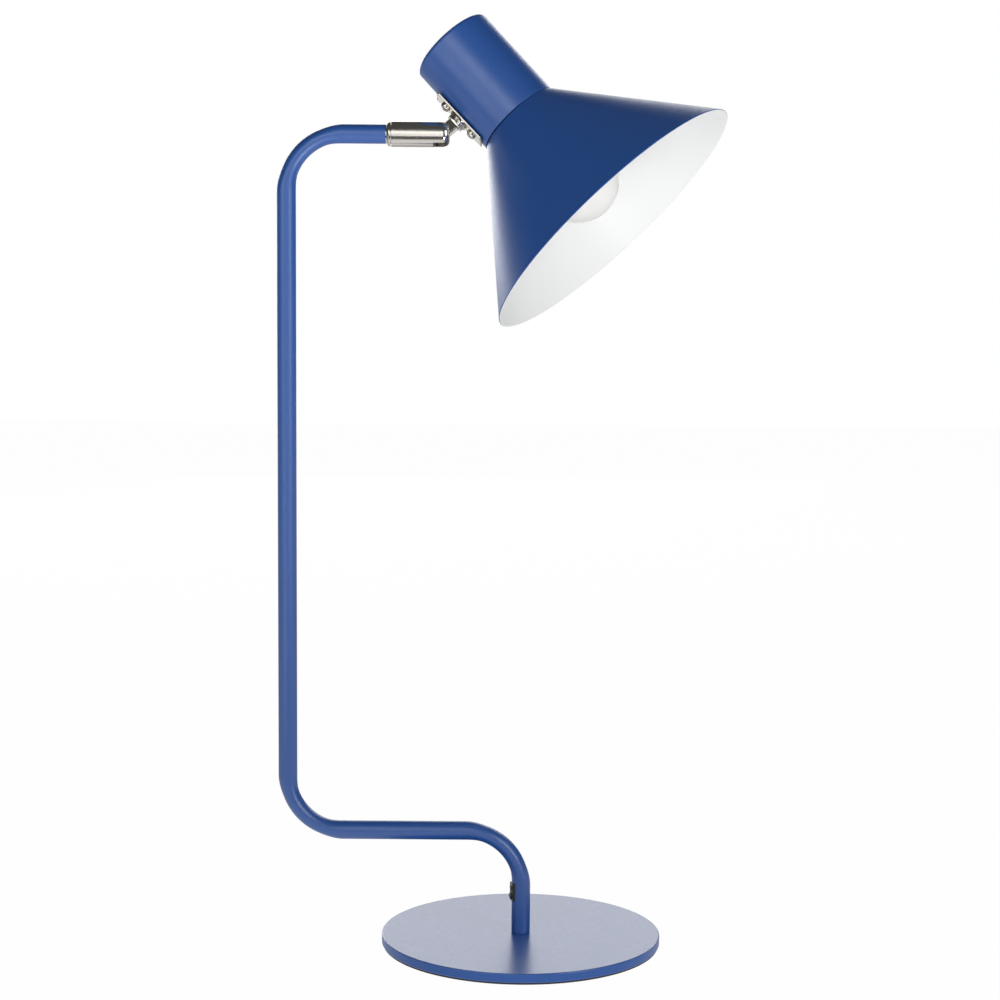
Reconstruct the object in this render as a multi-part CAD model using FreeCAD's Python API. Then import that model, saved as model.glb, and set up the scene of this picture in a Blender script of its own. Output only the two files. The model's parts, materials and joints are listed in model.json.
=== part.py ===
"""Adjustable desk lamp: a round steel base, a tube bent three times, a turned knuckle and a conical shade.

Millimetres. +Z is up, the origin is the middle of the base's underside, and the tube's bends lie in the XZ
plane. The knuckle turns about the upper arm, the head tilts in the knuckle's slot, and the switch rocks.
Each piece is one solid, or one group of like solids, and has its own file in parts/.
"""
import FreeCAD, Part
import math
import os

Vector = FreeCAD.Vector
Rotation = FreeCAD.Rotation
Placement = FreeCAD.Placement

X_AXIS = Vector(1, 0, 0)
Y_AXIS = Vector(0, 1, 0)
Z_AXIS = Vector(0, 0, 1)
ORIGIN = Vector(0, 0, 0)
FULL_TURN = 360
RIGHT_ANGLE = 90
HEXAGON_SIDES = 6
RECESS_ANGLES = (45, 135)
SAME_POINT = 1e-6
SEAM_TURN = 17

# Clearances, each on one side of a fit
fit_gap = 0.05
pivot_gap = 0.05
running_gap = 0.15
loose_gap = 0.3
cut_overrun = 1.0

# Base
base_diameter = 180.0
base_thickness = 6.0
base_edge_round = 0.7
pad_thickness = 1.2
pad_inset = 1.6

# Screw and plug that hold the tube on the base
foot_screw_diameter = 6.0
foot_screw_head_diameter = 11.0
foot_screw_reach = 6.0
foot_screw_socket_flats = 4.0
foot_screw_socket_depth = 2.0
foot_plug_length = 7.0

# Bent tube
tube_diameter = 12.0
tube_wall = 1.2
bend_radius = 36.0
foot_straight = 31.3
lower_arm_straight = 78.8
upright_straight = 374.0
upper_arm_straight = 26.3

# Cord inlet at the back of the foot
inlet_rise = 11.8
inlet_flange_diameter = 9.0
inlet_flange_stand = 1.6
inlet_neck_diameter = 6.6
inlet_neck_reach = 2.1
inlet_bore = 4.6
lead_diameter = 4.0
lead_bend = 4.0
lead_straight = 1.0

# Rocker switch in the side of the foot
switch_drop = 4.0
switch_turn = 15.0
bezel_width = 7.2
bezel_height = 12.0
bezel_stand = 0.5
bezel_round = 0.8
bezel_neck_width = 6.0
bezel_neck_height = 10.8
bezel_wall = 0.5
switch_body_depth = 4.4
rocker_lobe_stand = 1.4
rocker_waist_stand = 0.2
rocker_lobe_round = 1.1
rocker_pivot_diameter = 1.2
rocker_pivot_inset = 0.9
rocker_throw = 12.0

# Hollow bolt on which the knuckle turns
arm_plug_length = 12.0
arm_washer_thickness = 0.6
arm_bolt_diameter = 7.0
arm_bolt_bore = 4.6
arm_bolt_grip = 10.0
arm_bolt_head_diameter = 11.4
arm_bolt_head_length = 2.5

# Knuckle
slot_turn = 19.8
barrel_diameter = 16.0
barrel_length = 39.2
barrel_end_round = 3.0
barrel_bore = 12.4
barrel_bore_depth = 17.0
guide_bore = 9.0
pivot_setback = 4.9
slot_width = 8.1
slot_floor = 5.3
end_cap_diameter = 15.2
end_cap_flange = 2.5
end_cap_chamfer = 1.2
end_cap_seam = 0.3
end_cap_neck = 4.6
thrust_washer_thickness = 0.8
hinge_pin_diameter = 3.4
shoe_length = 6.6
shoe_nose_wrap = 0.6
spring_count = 4
spring_thickness = 0.5
spring_dish = 0.4
spring_bore = 4.4
spring_plug_length = 4.0
spring_plug_bore = 4.4

# Swivel stud: eye, neck, collar and threaded end
stem_rise = 42.2
eye_diameter = 9.4
neck_width = 7.4
neck_chamfer = 0.7
collar_seat = 10.3
collar_diameter = 12.2
collar_thickness = 1.5
collar_chamfer = 0.3
stud_thread_diameter = 8.0
stud_tail = 0.8
stud_wire_bore = 3.4
stud_washer_diameter = 12.8
stud_washer_thickness = 0.7
stud_nut_flats = 13.0
stud_nut_height = 4.0

# Head bracket and its screws
bracket_length = 38.0
bracket_width = 14.0
bracket_corner = 3.2
bracket_corner_limit_share = 0.85
bracket_thickness = 1.2
bracket_gap = 0.3
bracket_boss_diameter = 14.0
bracket_screw_spacing = 24.0
bracket_screw_diameter = 3.5
bracket_screw_head_diameter = 6.8
bracket_screw_head_height = 2.3
bracket_screw_tail = 1.6
recess_span = 3.8
recess_width = 0.9
recess_depth = 1.3
screw_crown_share = 0.55
screw_top_share = 0.6

# Head: cap and shade on one axis, the stud square to it
stud_to_axis = 42.9
stud_to_seam = 24.6
cap_diameter = 54.9
cap_length = 65.0
cap_wall = 1.0
cap_end_round = 2.6
cap_end_dome = 1.0
seam_gap = 0.4
shade_mouth_diameter = 191.6
shade_length = 88.1
shade_wall = 1.0
shade_flange_bore = 40.6

# Bridge inside the cap, which carries the lampholder
bridge_width = 13.0
bridge_flat = 24.0
bridge_front = 17.5
bridge_back = 17.5
bridge_tab_thickness = 1.6
bridge_tab_width = 20.0
bridge_tab_reach = 9.0

# Lampholder
holder_body_diameter = 31.0
holder_back_gap = 1.5
holder_back_round = 3.0
holder_shoulder_diameter = 45.0
holder_shoulder_thickness = 3.0
holder_skirt_diameter = 39.6
holder_skirt_length = 13.0
holder_bore = 28.4
holder_floor = 18.6
holder_ring_diameter = 46.0
holder_ring_thickness = 6.0
holder_nipple_diameter = 10.0
holder_nipple_bore = 7.0
holder_nipple_grip = 5.0
holder_nut_flats = 14.0
holder_nut_height = 3.0
shell_thickness = 0.5
shell_gap = 0.25
contact_width = 6.0
contact_thickness = 0.6
contact_spring_rise = 1.6

# Lead from the stud to the lampholder
head_lead_diameter = 2.2
head_lead_first_bend = 2.2
head_lead_bend = 5.0
head_lead_hole = 4.2

# Bulb
bulb_diameter = 54.4
bulb_centre = 55.0
bulb_glass = 0.9
bulb_neck_diameter = 25.0
bulb_screw_diameter = 26.4
bulb_screw_length = 22.0
bulb_contact_diameter = 9.0
bulb_contact_height = 1.6
bulb_insulator_height = 2.4
bulb_insulator_diameter = 20.0

# Heights and places that follow
base_top = pad_thickness + base_thickness
tube_radius = tube_diameter / 2
tube_bore_radius = tube_radius - tube_wall
bend_start_height = base_top + foot_straight
lower_arm_height = bend_start_height + bend_radius
upper_arm_height = lower_arm_height + upright_straight + bend_radius * 2
upright_x = -lower_arm_straight - bend_radius * 2
arm_end_x = upright_x + bend_radius + upper_arm_straight
barrel_start_x = arm_end_x + arm_washer_thickness
pivot_x = barrel_start_x + barrel_length - pivot_setback
pivot = Vector(pivot_x, 0, upper_arm_height)
barrel_radius = barrel_diameter / 2
barrel_back = pivot_setback - barrel_length
end_cap_face = barrel_back + end_cap_flange
barrel_rear = end_cap_face + end_cap_seam
cap_radius = cap_diameter / 2
cap_bore_radius = cap_radius - cap_wall
cap_back = stud_to_seam - cap_length
bracket_inner_radius = cap_radius + bracket_gap
bracket_outer_radius = bracket_inner_radius + bracket_thickness
bracket_face = stud_to_axis - bracket_outer_radius
bridge_outer_radius = cap_bore_radius - fit_gap
bridge_face = stud_to_axis - bridge_flat
shade_top = stud_to_seam + seam_gap
tongue_thickness = slot_width - running_gap * 2
eye_radius = eye_diameter / 2
switch_height = bend_start_height - switch_drop
inlet_height = base_top + inlet_rise
tab_front = -bridge_back
holder_back = tab_front + holder_back_gap

knuckle_place = Placement(pivot, Rotation(X_AXIS, -slot_turn))
head_place = knuckle_place.multiply(Placement(ORIGIN, Rotation(Y_AXIS, RIGHT_ANGLE - stem_rise)))
axis_place = head_place.multiply(Placement(Vector(0, 0, stud_to_axis), Rotation()))
switch_place = Placement(Vector(0, 0, switch_height), Rotation(Z_AXIS, FULL_TURN / 2 + switch_turn))


def placed(shape, place):
    """A copy of the shape, moved from its own frame to its place on the lamp."""
    return shape.transformed(place.toMatrix(), True)


def cylinder(diameter, length, start=ORIGIN, axis=Z_AXIS):
    """A solid round bar from its start point along its axis."""
    return Part.makeCylinder(diameter / 2, length, start, axis)


def taper(start_diameter, end_diameter, length, start=ORIGIN, axis=Z_AXIS):
    """A solid bar that narrows or widens from its start point along its axis."""
    return Part.makeCone(start_diameter / 2, end_diameter / 2, length, start, axis)


def through_bar(diameter, length, start=ORIGIN, axis=Z_AXIS):
    """A bar for cutting a hole through a length, with an overrun at each end."""
    return cylinder(diameter, length + cut_overrun * 2, start - axis * cut_overrun, axis)


def ring(outer, inner, length, start=ORIGIN, axis=Z_AXIS):
    """A round bar with a bore right through it."""
    return cylinder(outer, length, start, axis).cut(through_bar(inner, length, start, axis))


def block(x_low, x_high, width, z_low, z_high):
    """A box between two X and two Z values, centred on Y."""
    return Part.makeBox(x_high - x_low, width, z_high - z_low, Vector(x_low, -width / 2, z_low))


def rims(bar):
    """The full circles at the ends of a round bar."""
    return [edge for edge in bar.Edges if len(edge.Vertexes) == 1]


def hexagon(flats, height, start=ORIGIN, axis=Z_AXIS):
    """A hexagonal prism of the given width across flats."""
    corner_radius = flats / math.sqrt(3)
    corners = []
    for index in range(HEXAGON_SIDES + 1):
        angle = math.radians(index * FULL_TURN / HEXAGON_SIDES)
        corners.append(Vector(corner_radius * math.cos(angle), corner_radius * math.sin(angle), 0))
    prism = Part.Face(Part.makePolygon(corners)).extrude(Z_AXIS * height)
    return placed(prism, Placement(start, Rotation(Z_AXIS, axis)))


def outline(corners):
    """A face in the XZ plane from corners (x, z, round), where round is the corner's radius, or zero."""
    edges = []
    starts = []
    ends = []
    middles = []
    count = len(corners)
    for index in range(count):
        x, z, radius = corners[index]
        here = Vector(x, 0, z)
        before = Vector(corners[index - 1][0], 0, corners[index - 1][1]) - here
        after = Vector(corners[(index + 1) % count][0], 0, corners[(index + 1) % count][1]) - here
        before.normalize()
        after.normalize()
        half = before.getAngle(after) / 2
        reach = radius / math.tan(half)
        bisector = (before + after).normalize() if radius > 0 else ORIGIN
        starts.append(here + before * reach)
        ends.append(here + after * reach)
        middles.append(here + bisector * (radius / math.sin(half) - radius))
    for index in range(count):
        if corners[index][2] > 0:
            edges.append(Part.Arc(starts[index], middles[index], ends[index]).toShape())
        following = starts[(index + 1) % count]
        if (following - ends[index]).Length > SAME_POINT:
            edges.append(Part.LineSegment(ends[index], following).toShape())
    return Part.Face(Part.Wire(edges))


def turned(corners):
    """A solid of revolution about X from corners (x, radius from the axis, round)."""
    return outline(corners).revolve(ORIGIN, X_AXIS, FULL_TURN)


def round_section(diameter, bore, centre, normal):
    """A disc, or a ring if it has a bore, whose seam points away from the planes that the lamp lies in."""
    section = Part.Face(Part.Wire(Part.makeCircle(diameter / 2, centre, normal)))
    if bore > 0:
        section = section.cut(Part.Face(Part.Wire(Part.makeCircle(bore / 2, centre, normal)))).Faces[0]
    section.rotate(centre, normal, SEAM_TURN)
    return section


def swept(points, bends, diameter, bore=0):
    """A round bar or tube along straight runs joined by tangent arcs: one bend radius for each inner point."""
    pieces = []
    here = points[0]
    for index in range(1, len(points) - 1):
        corner = points[index]
        back = (points[index - 1] - corner).normalize()
        ahead = (points[index + 1] - corner).normalize()
        half = back.getAngle(ahead) / 2
        radius = bends[index - 1]
        bend_start = corner + back * (radius / math.tan(half))
        centre = corner + (back + ahead).normalize() * (radius / math.sin(half))
        bend_turn = FULL_TURN / 2 - math.degrees(half * 2)
        bend_section = round_section(diameter, bore, bend_start, -back)
        pieces.append(round_section(diameter, bore, here, -back).extrude(bend_start - here))
        pieces.append(bend_section.revolve(centre, ahead.cross(back), bend_turn))
        here = corner + ahead * (radius / math.tan(half))
    pieces.append(round_section(diameter, bore, here, ahead).extrude(points[-1] - here))
    return pieces[0].fuse(pieces[1:]).removeSplitter()


def tube_route(end_x, start_z):
    """The tube's centre line: up, along the lower arm, up the upright and along the upper arm."""
    return [
        Vector(0, 0, start_z),
        Vector(0, 0, lower_arm_height),
        Vector(upright_x, 0, lower_arm_height),
        Vector(upright_x, 0, upper_arm_height),
        Vector(end_x, 0, upper_arm_height),
    ]


def tube_core(diameter, bore=0):
    """A bar or tube along the whole of the stand."""
    return swept(tube_route(arm_end_x, base_top), [bend_radius] * 3, diameter, bore)


def inlet_start(distance):
    """A point on the inlet's axis, at a distance behind the stem's axis."""
    return Vector(0, distance, inlet_height)


def base_plate():
    hole_diameter = foot_screw_diameter + loose_gap * 2
    sink_diameter = foot_screw_head_diameter + fit_gap * 2
    sink_depth = (sink_diameter - hole_diameter) / 2
    plate = cylinder(base_diameter, base_thickness)
    plate = plate.makeFillet(base_edge_round, rims(plate))
    plate = plate.cut(through_bar(hole_diameter, base_thickness))
    plate = plate.cut(taper(sink_diameter, hole_diameter, sink_depth))
    return placed(plate, Placement(Z_AXIS * pad_thickness, Rotation()))


def base_pad():
    return cylinder(base_diameter - pad_inset * 2, pad_thickness)


def foot_screw():
    head_height = (foot_screw_head_diameter - foot_screw_diameter) / 2
    length = base_thickness + foot_screw_reach
    screw = taper(foot_screw_head_diameter, foot_screw_diameter, head_height)
    screw = screw.fuse(cylinder(foot_screw_diameter, length)).removeSplitter()
    socket = hexagon(foot_screw_socket_flats, foot_screw_socket_depth + cut_overrun, Z_AXIS * -cut_overrun)
    screw = screw.cut(socket)
    return placed(screw, Placement(Z_AXIS * (pad_thickness + fit_gap), Rotation()))


def foot_plug():
    thread = foot_screw_diameter + fit_gap * 2
    return ring((tube_bore_radius - fit_gap) * 2, thread, foot_plug_length, Z_AXIS * base_top)


def stem_tube():
    tube = tube_core(tube_diameter, tube_bore_radius * 2)
    switch_hole = block(
        0,
        tube_diameter,
        bezel_neck_width + fit_gap * 2,
        -bezel_neck_height / 2 - fit_gap,
        bezel_neck_height / 2 + fit_gap,
    )
    tube = tube.cut(placed(switch_hole, switch_place))
    return tube.cut(cylinder(inlet_neck_diameter + fit_gap * 2, tube_diameter, inlet_start(0), Y_AXIS))


def cord_inlet():
    outer_face = tube_radius + inlet_flange_stand
    flange = cylinder(inlet_flange_diameter, outer_face, inlet_start(0), Y_AXIS)
    flange = flange.cut(cylinder(tube_diameter + fit_gap * 2, inlet_height + inlet_flange_diameter))
    neck_start = tube_radius - inlet_neck_reach
    neck = cylinder(inlet_neck_diameter, outer_face - neck_start, inlet_start(neck_start), Y_AXIS)
    bore = cylinder(inlet_bore, outer_face * 2, inlet_start(0), Y_AXIS)
    return flange.fuse(neck).removeSplitter().cut(bore)


def inlet_lead():
    start = inlet_start(tube_radius - inlet_neck_reach / 2)
    end_height = switch_height - bezel_neck_height / 2
    return swept([start, inlet_start(0), Vector(0, 0, end_height)], [lead_bend], lead_diameter)


def stem_lead():
    start_height = switch_height + bezel_neck_height / 2
    end_x = barrel_start_x + end_cap_flange
    first_bend = lower_arm_height - start_height - lead_straight
    bends = [first_bend, bend_radius, bend_radius]
    return swept(tube_route(end_x, start_height), bends, lead_diameter)


def bezel_opening():
    return bezel_neck_width - bezel_wall * 2, bezel_neck_height - bezel_wall * 2


def switch_front():
    """Distance from the stem's axis to the front of the switch's body, where its corners meet the bore."""
    half_width = bezel_neck_width / 2
    return math.sqrt((tube_bore_radius - fit_gap) ** 2 - half_width ** 2)


def rocker_pivot():
    return tube_radius - rocker_pivot_inset


def switch_bezel():
    """A frame on the tube's skin, and the box behind it that holds the rocker's pin."""
    face = tube_radius + bezel_stand
    plate = block(0, face, bezel_width, -bezel_height / 2, bezel_height / 2)
    edges = [edge for edge in plate.Edges if edge.Vertexes[0].Point.x != edge.Vertexes[1].Point.x]
    plate = placed(plate.makeFillet(bezel_round, edges), switch_place)
    neck = block(switch_front(), face, bezel_neck_width, -bezel_neck_height / 2, bezel_neck_height / 2)
    frame = plate.cut(tube_core(tube_diameter + fit_gap * 2)).cut(placed(neck, switch_place))
    width, height = bezel_opening()
    opening = block(0, face + cut_overrun, width, -height / 2, height / 2)
    pivot_hole = cylinder(
        rocker_pivot_diameter + pivot_gap * 2,
        bezel_neck_width,
        Vector(rocker_pivot(), -bezel_neck_width / 2, 0),
        Y_AXIS,
    )
    walls = placed(neck.cut(opening).cut(pivot_hole), switch_place)
    return frame.fuse(walls).removeSplitter()


def switch_body():
    front = switch_front() - fit_gap
    body = block(
        front - switch_body_depth,
        front,
        bezel_neck_width,
        -bezel_neck_height / 2,
        bezel_neck_height / 2,
    )
    return placed(body, switch_place)


def switch_rocker():
    width, height = bezel_opening()
    end = height / 2 - loose_gap
    lobe = tube_radius + rocker_lobe_stand
    waist = tube_radius + rocker_waist_stand
    back = rocker_pivot() - rocker_pivot_diameter / 2
    corners = [
        (back, -end, 0),
        (lobe, -end, rocker_lobe_round),
        (lobe, -end / 2, rocker_lobe_round),
        (waist, 0, rocker_lobe_round),
        (lobe, end / 2, rocker_lobe_round),
        (lobe, end, rocker_lobe_round),
        (back, end, 0),
    ]
    cap_width = width - running_gap * 2
    cap = outline(corners).extrude(Y_AXIS * cap_width)
    cap.translate(Y_AXIS * (-cap_width / 2))
    pin_span = bezel_neck_width - fit_gap * 2
    pin = cylinder(rocker_pivot_diameter, pin_span, Vector(rocker_pivot(), -pin_span / 2, 0), Y_AXIS)
    rocker = cap.fuse(pin).removeSplitter()
    rocker.rotate(Vector(rocker_pivot(), 0, 0), Y_AXIS, -rocker_throw / 2)
    return placed(rocker, switch_place)


def arm_plug():
    start = Vector(arm_end_x - arm_plug_length, 0, upper_arm_height)
    outer = (tube_bore_radius - fit_gap) * 2
    return ring(outer, arm_bolt_diameter + fit_gap * 2, arm_plug_length, start, X_AXIS)


def arm_washer():
    start = Vector(arm_end_x, 0, upper_arm_height)
    thickness = arm_washer_thickness - running_gap
    return ring(tube_diameter, arm_bolt_diameter + fit_gap * 2, thickness, start, X_AXIS)


def bolt_head_start():
    """Where the bolt's head begins, measured from the hinge."""
    return end_cap_face + end_cap_neck + thrust_washer_thickness + running_gap * 2


def arm_bolt():
    thread_start = arm_end_x - arm_bolt_grip - pivot_x
    head_start = bolt_head_start()
    shank = cylinder(arm_bolt_diameter, head_start - thread_start, Vector(thread_start, 0, 0), X_AXIS)
    head = cylinder(arm_bolt_head_diameter, arm_bolt_head_length, Vector(head_start, 0, 0), X_AXIS)
    length = head_start + arm_bolt_head_length - thread_start
    bore = through_bar(arm_bolt_bore, length, Vector(thread_start, 0, 0), X_AXIS)
    return placed(shank.fuse(head).removeSplitter().cut(bore), knuckle_place)


def thrust_washer():
    start = Vector(end_cap_face + end_cap_neck + running_gap, 0, 0)
    outer = arm_bolt_head_diameter
    washer = ring(outer, arm_bolt_diameter + running_gap * 2, thrust_washer_thickness, start, X_AXIS)
    return placed(washer, knuckle_place)


def knuckle_end_cap():
    radius = end_cap_diameter / 2
    hole = arm_bolt_diameter / 2 + running_gap
    neck = barrel_bore / 2 - fit_gap
    cap = turned([
        (barrel_back, hole, 0),
        (barrel_back, radius - end_cap_chamfer, 0),
        (barrel_back + end_cap_chamfer, radius, 0),
        (end_cap_face, radius, 0),
        (end_cap_face, neck, 0),
        (end_cap_face + end_cap_neck, neck, 0),
        (end_cap_face + end_cap_neck, hole, 0),
    ])
    return placed(cap, knuckle_place)


def shoe_nose():
    """Front of the friction shoe, measured from the hinge."""
    return shoe_nose_wrap - eye_radius - running_gap


def knuckle_barrel():
    bore_end = barrel_rear + barrel_bore_depth
    guide_end = shoe_nose() + loose_gap
    barrel = turned([
        (barrel_rear, barrel_bore / 2, 0),
        (barrel_rear, barrel_radius, 0),
        (pivot_setback, barrel_radius, barrel_end_round),
        (pivot_setback, 0, 0),
        (guide_end, 0, 0),
        (guide_end, guide_bore / 2, 0),
        (bore_end, guide_bore / 2, 0),
        (bore_end, barrel_bore / 2, 0),
    ])
    slot = block(-slot_floor, pivot_setback + cut_overrun, slot_width, -barrel_diameter, barrel_diameter)
    pin_hole = cylinder(
        hinge_pin_diameter + fit_gap * 2,
        barrel_diameter,
        Y_AXIS * -barrel_radius,
        Y_AXIS,
    )
    return placed(barrel.cut(slot).cut(pin_hole), knuckle_place)


def hinge_pins():
    """Two stub pins, flush with the barrel, which leave the middle free for the wires."""
    inner_end = stud_wire_bore / 2 + loose_gap
    skin = cylinder(barrel_diameter, barrel_length, Vector(-barrel_length / 2, 0, 0), X_AXIS)
    pins = []
    for side in (-1, 1):
        start = Y_AXIS * (side * inner_end)
        pin = cylinder(hinge_pin_diameter, barrel_radius, start, Y_AXIS * side)
        pins.append(placed(pin.common(skin), knuckle_place))
    return Part.makeCompound(pins)


def friction_shoe():
    nose = shoe_nose()
    start = Vector(nose - shoe_length, 0, 0)
    bar = ring(guide_bore - fit_gap * 2, stud_wire_bore, shoe_length, start, X_AXIS)
    eye = cylinder(eye_diameter + running_gap * 2, barrel_diameter, Y_AXIS * -barrel_radius, Y_AXIS)
    return placed(bar.cut(eye), knuckle_place)


def spring_pitch():
    return spring_thickness + spring_dish + fit_gap


def disc_springs():
    """Dished washers stacked in pairs behind the shoe, face to face and back to back."""
    inner = spring_bore / 2
    outer = guide_bore / 2 - fit_gap * 2
    springs = []
    for index in range(spring_count):
        back = shoe_nose() - shoe_length - (index + 1) * spring_pitch()
        inner_shift, outer_shift = (0, spring_dish) if index % 2 else (spring_dish, 0)
        spring = turned([
            (back + inner_shift, inner, 0),
            (back + outer_shift, outer, 0),
            (back + outer_shift + spring_thickness, outer, 0),
            (back + inner_shift + spring_thickness, inner, 0),
        ])
        springs.append(placed(spring, knuckle_place))
    return Part.makeCompound(springs)


def spring_plug():
    end = shoe_nose() - shoe_length - spring_count * spring_pitch() - fit_gap
    start = Vector(end - spring_plug_length, 0, 0)
    plug = ring(guide_bore - fit_gap * 2, spring_plug_bore, spring_plug_length, start, X_AXIS)
    return placed(plug, knuckle_place)


def stud_end():
    """Height of the stud's tail above the hinge."""
    return bridge_face + stud_nut_height + stud_tail


def swivel_stud():
    half = tongue_thickness / 2
    eye = cylinder(eye_diameter, tongue_thickness, Y_AXIS * -half, Y_AXIS)
    neck = block(-neck_width / 2, neck_width / 2, tongue_thickness, 0, collar_seat)
    upright = [edge for edge in neck.Edges if edge.Vertexes[0].Point.z != edge.Vertexes[1].Point.z]
    neck = neck.makeChamfer(neck_chamfer, upright)
    collar = cylinder(collar_diameter, collar_thickness, Z_AXIS * collar_seat)
    collar = collar.makeChamfer(collar_chamfer, rims(collar))
    thread_start = collar_seat + collar_thickness
    thread = cylinder(stud_thread_diameter, stud_end() - thread_start, Z_AXIS * thread_start)
    stud = eye.fuse([neck, collar, thread]).removeSplitter()
    wire_bore = cylinder(stud_wire_bore, stud_end() + eye_diameter, Z_AXIS * -eye_diameter)
    pin_hole = hinge_pin_diameter + pivot_gap * 2
    pin_bore = cylinder(pin_hole, barrel_diameter, Y_AXIS * -barrel_radius, Y_AXIS)
    return placed(stud.cut(wire_bore).cut(pin_bore), head_place)


def stud_washer():
    start = Z_AXIS * (collar_seat + collar_thickness)
    washer = ring(stud_washer_diameter, stud_thread_diameter + fit_gap * 2, stud_washer_thickness, start)
    return placed(washer, head_place)


def stud_nut():
    nut = hexagon(stud_nut_flats, stud_nut_height, Z_AXIS * bridge_face)
    hole = cylinder(stud_thread_diameter + fit_gap * 2, stud_to_axis)
    return placed(nut.cut(hole), head_place)


def axis_shell(outer_radius, inner_radius, start, end):
    """A tube about the head's axis, in the stud's frame."""
    start_point = Vector(start, 0, stud_to_axis)
    return ring(outer_radius * 2, inner_radius * 2, end - start, start_point, X_AXIS)


def screw_places():
    half = bracket_screw_spacing / 2
    return [-half, half]


def fastener_holes(stud_gap, screw_gap):
    """Bars through the head's side for the stud and the two screws, each with its clearance."""
    bars = [cylinder(stud_thread_diameter + stud_gap * 2, stud_to_axis)]
    for x in screw_places():
        bars.append(cylinder(bracket_screw_diameter + screw_gap * 2, stud_to_axis, Vector(x, 0, 0)))
    return bars


def head_bracket():
    half_length = bracket_length / 2
    half_width = bracket_width / 2
    plan = block(-half_length, half_length, bracket_width, 0, stud_to_axis)
    upright = [edge for edge in plan.Edges if edge.Vertexes[0].Point.z != edge.Vertexes[1].Point.z]
    plan = plan.makeFillet(min(bracket_corner, half_width * bracket_corner_limit_share), upright)
    shell = axis_shell(bracket_outer_radius, bracket_inner_radius, -bracket_length, bracket_length)
    plate = plan.common(shell)
    boss_start = collar_seat + collar_thickness + stud_washer_thickness
    boss = cylinder(bracket_boss_diameter, stud_to_axis - boss_start, Z_AXIS * boss_start)
    core_start = Vector(-bracket_length, 0, stud_to_axis)
    core = cylinder(bracket_inner_radius * 2, bracket_length * 2, core_start, X_AXIS)
    bracket = plate.fuse(boss.cut(core)).removeSplitter()
    return placed(bracket.cut(fastener_holes(fit_gap, fit_gap)), head_place)


def bracket_screws():
    """Two pan-head screws with a cross recess."""
    top = bracket_face - bracket_screw_head_height
    head_radius = bracket_screw_head_diameter / 2
    crown = bracket_screw_head_height * screw_crown_share
    screws = []
    for x in screw_places():
        profile = outline([
            (0, top, 0),
            (head_radius * screw_top_share, top, crown),
            (head_radius, top + crown, crown / 2),
            (head_radius, bracket_face, 0),
            (0, bracket_face, 0),
        ])
        head = profile.revolve(ORIGIN, Z_AXIS, FULL_TURN)
        shank_end = bridge_face + bracket_screw_tail
        shank = cylinder(bracket_screw_diameter, shank_end - bracket_face, Z_AXIS * bracket_face)
        screw = head.fuse(shank).removeSplitter()
        for angle in RECESS_ANGLES:
            half_span = recess_span / 2
            arm = block(-half_span, half_span, recess_width, top - cut_overrun, top + recess_depth)
            arm.rotate(ORIGIN, Z_AXIS, angle)
            screw = screw.cut(arm)
        screw.translate(X_AXIS * x)
        screws.append(placed(screw, head_place))
    return Part.makeCompound(screws)


def head_cap():
    dome = cap_back + cap_end_dome
    inner_back = cap_back + cap_wall
    inner_dome = dome + cap_wall
    mouth = stud_to_seam
    cap = turned([
        (cap_back, 0, 0),
        (dome, cap_radius, cap_end_round),
        (mouth, cap_radius, 0),
        (mouth, cap_bore_radius, 0),
        (inner_dome, cap_bore_radius, cap_end_round - cap_wall / 2),
        (inner_back, 0, 0),
    ])
    cap.translate(Z_AXIS * stud_to_axis)
    return placed(cap.cut(fastener_holes(loose_gap, loose_gap)), head_place)


def shade_slope():
    """Half angle of the shade's cone."""
    return math.atan2(shade_mouth_diameter / 2 - cap_radius, shade_length - seam_gap)


def shade_cone():
    """Spun cone with a turned-in flange that the lampholder's ring clamps."""
    mouth = stud_to_seam + shade_length
    mouth_radius = shade_mouth_diameter / 2
    radial_wall = shade_wall / math.cos(shade_slope())
    flange_back = shade_top + shade_wall
    flange_radius = cap_radius - radial_wall + shade_wall * math.tan(shade_slope())
    cone = turned([
        (shade_top, shade_flange_bore / 2, 0),
        (shade_top, cap_radius, 0),
        (mouth, mouth_radius, shade_wall / 4),
        (mouth, mouth_radius - radial_wall, shade_wall / 4),
        (flange_back, flange_radius, 0),
        (flange_back, shade_flange_bore / 2, 0),
    ])
    return placed(cone, axis_place)


def holder_bridge():
    """Strip inside the cap: a saddle under the bracket, and a tab across the axis for the lampholder."""
    outer = bridge_outer_radius * 2
    saddle_start = Vector(-bridge_back, 0, stud_to_axis)
    saddle = cylinder(outer, bridge_front + bridge_back, saddle_start, X_AXIS)
    saddle = saddle.common(block(-bridge_back, bridge_front, bridge_width, 0, bridge_face))
    tab_back = tab_front - bridge_tab_thickness
    tab_start = Vector(tab_back, 0, stud_to_axis)
    disc = cylinder(outer, bridge_tab_thickness, tab_start, X_AXIS)
    tab = disc.common(block(tab_back, tab_front, bridge_tab_width, 0, stud_to_axis + bridge_tab_reach))
    bridge = saddle.fuse(tab).removeSplitter()
    nipple_hole = through_bar(holder_nipple_diameter + fit_gap * 2, bridge_tab_thickness, tab_start, X_AXIS)
    lead_start = Vector(tab_back, 0, head_lead_height())
    lead_hole = through_bar(head_lead_hole, bridge_tab_thickness, lead_start, X_AXIS)
    bridge = bridge.cut(fastener_holes(fit_gap, fit_gap))
    return placed(bridge.cut(nipple_hole).cut(lead_hole), head_place)


def head_lead_height():
    """Height of the lead's run along the cap, above the hinge."""
    return stud_end() + head_lead_first_bend


def nipple_back():
    return tab_front - bridge_tab_thickness - holder_nut_height - fit_gap


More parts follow.
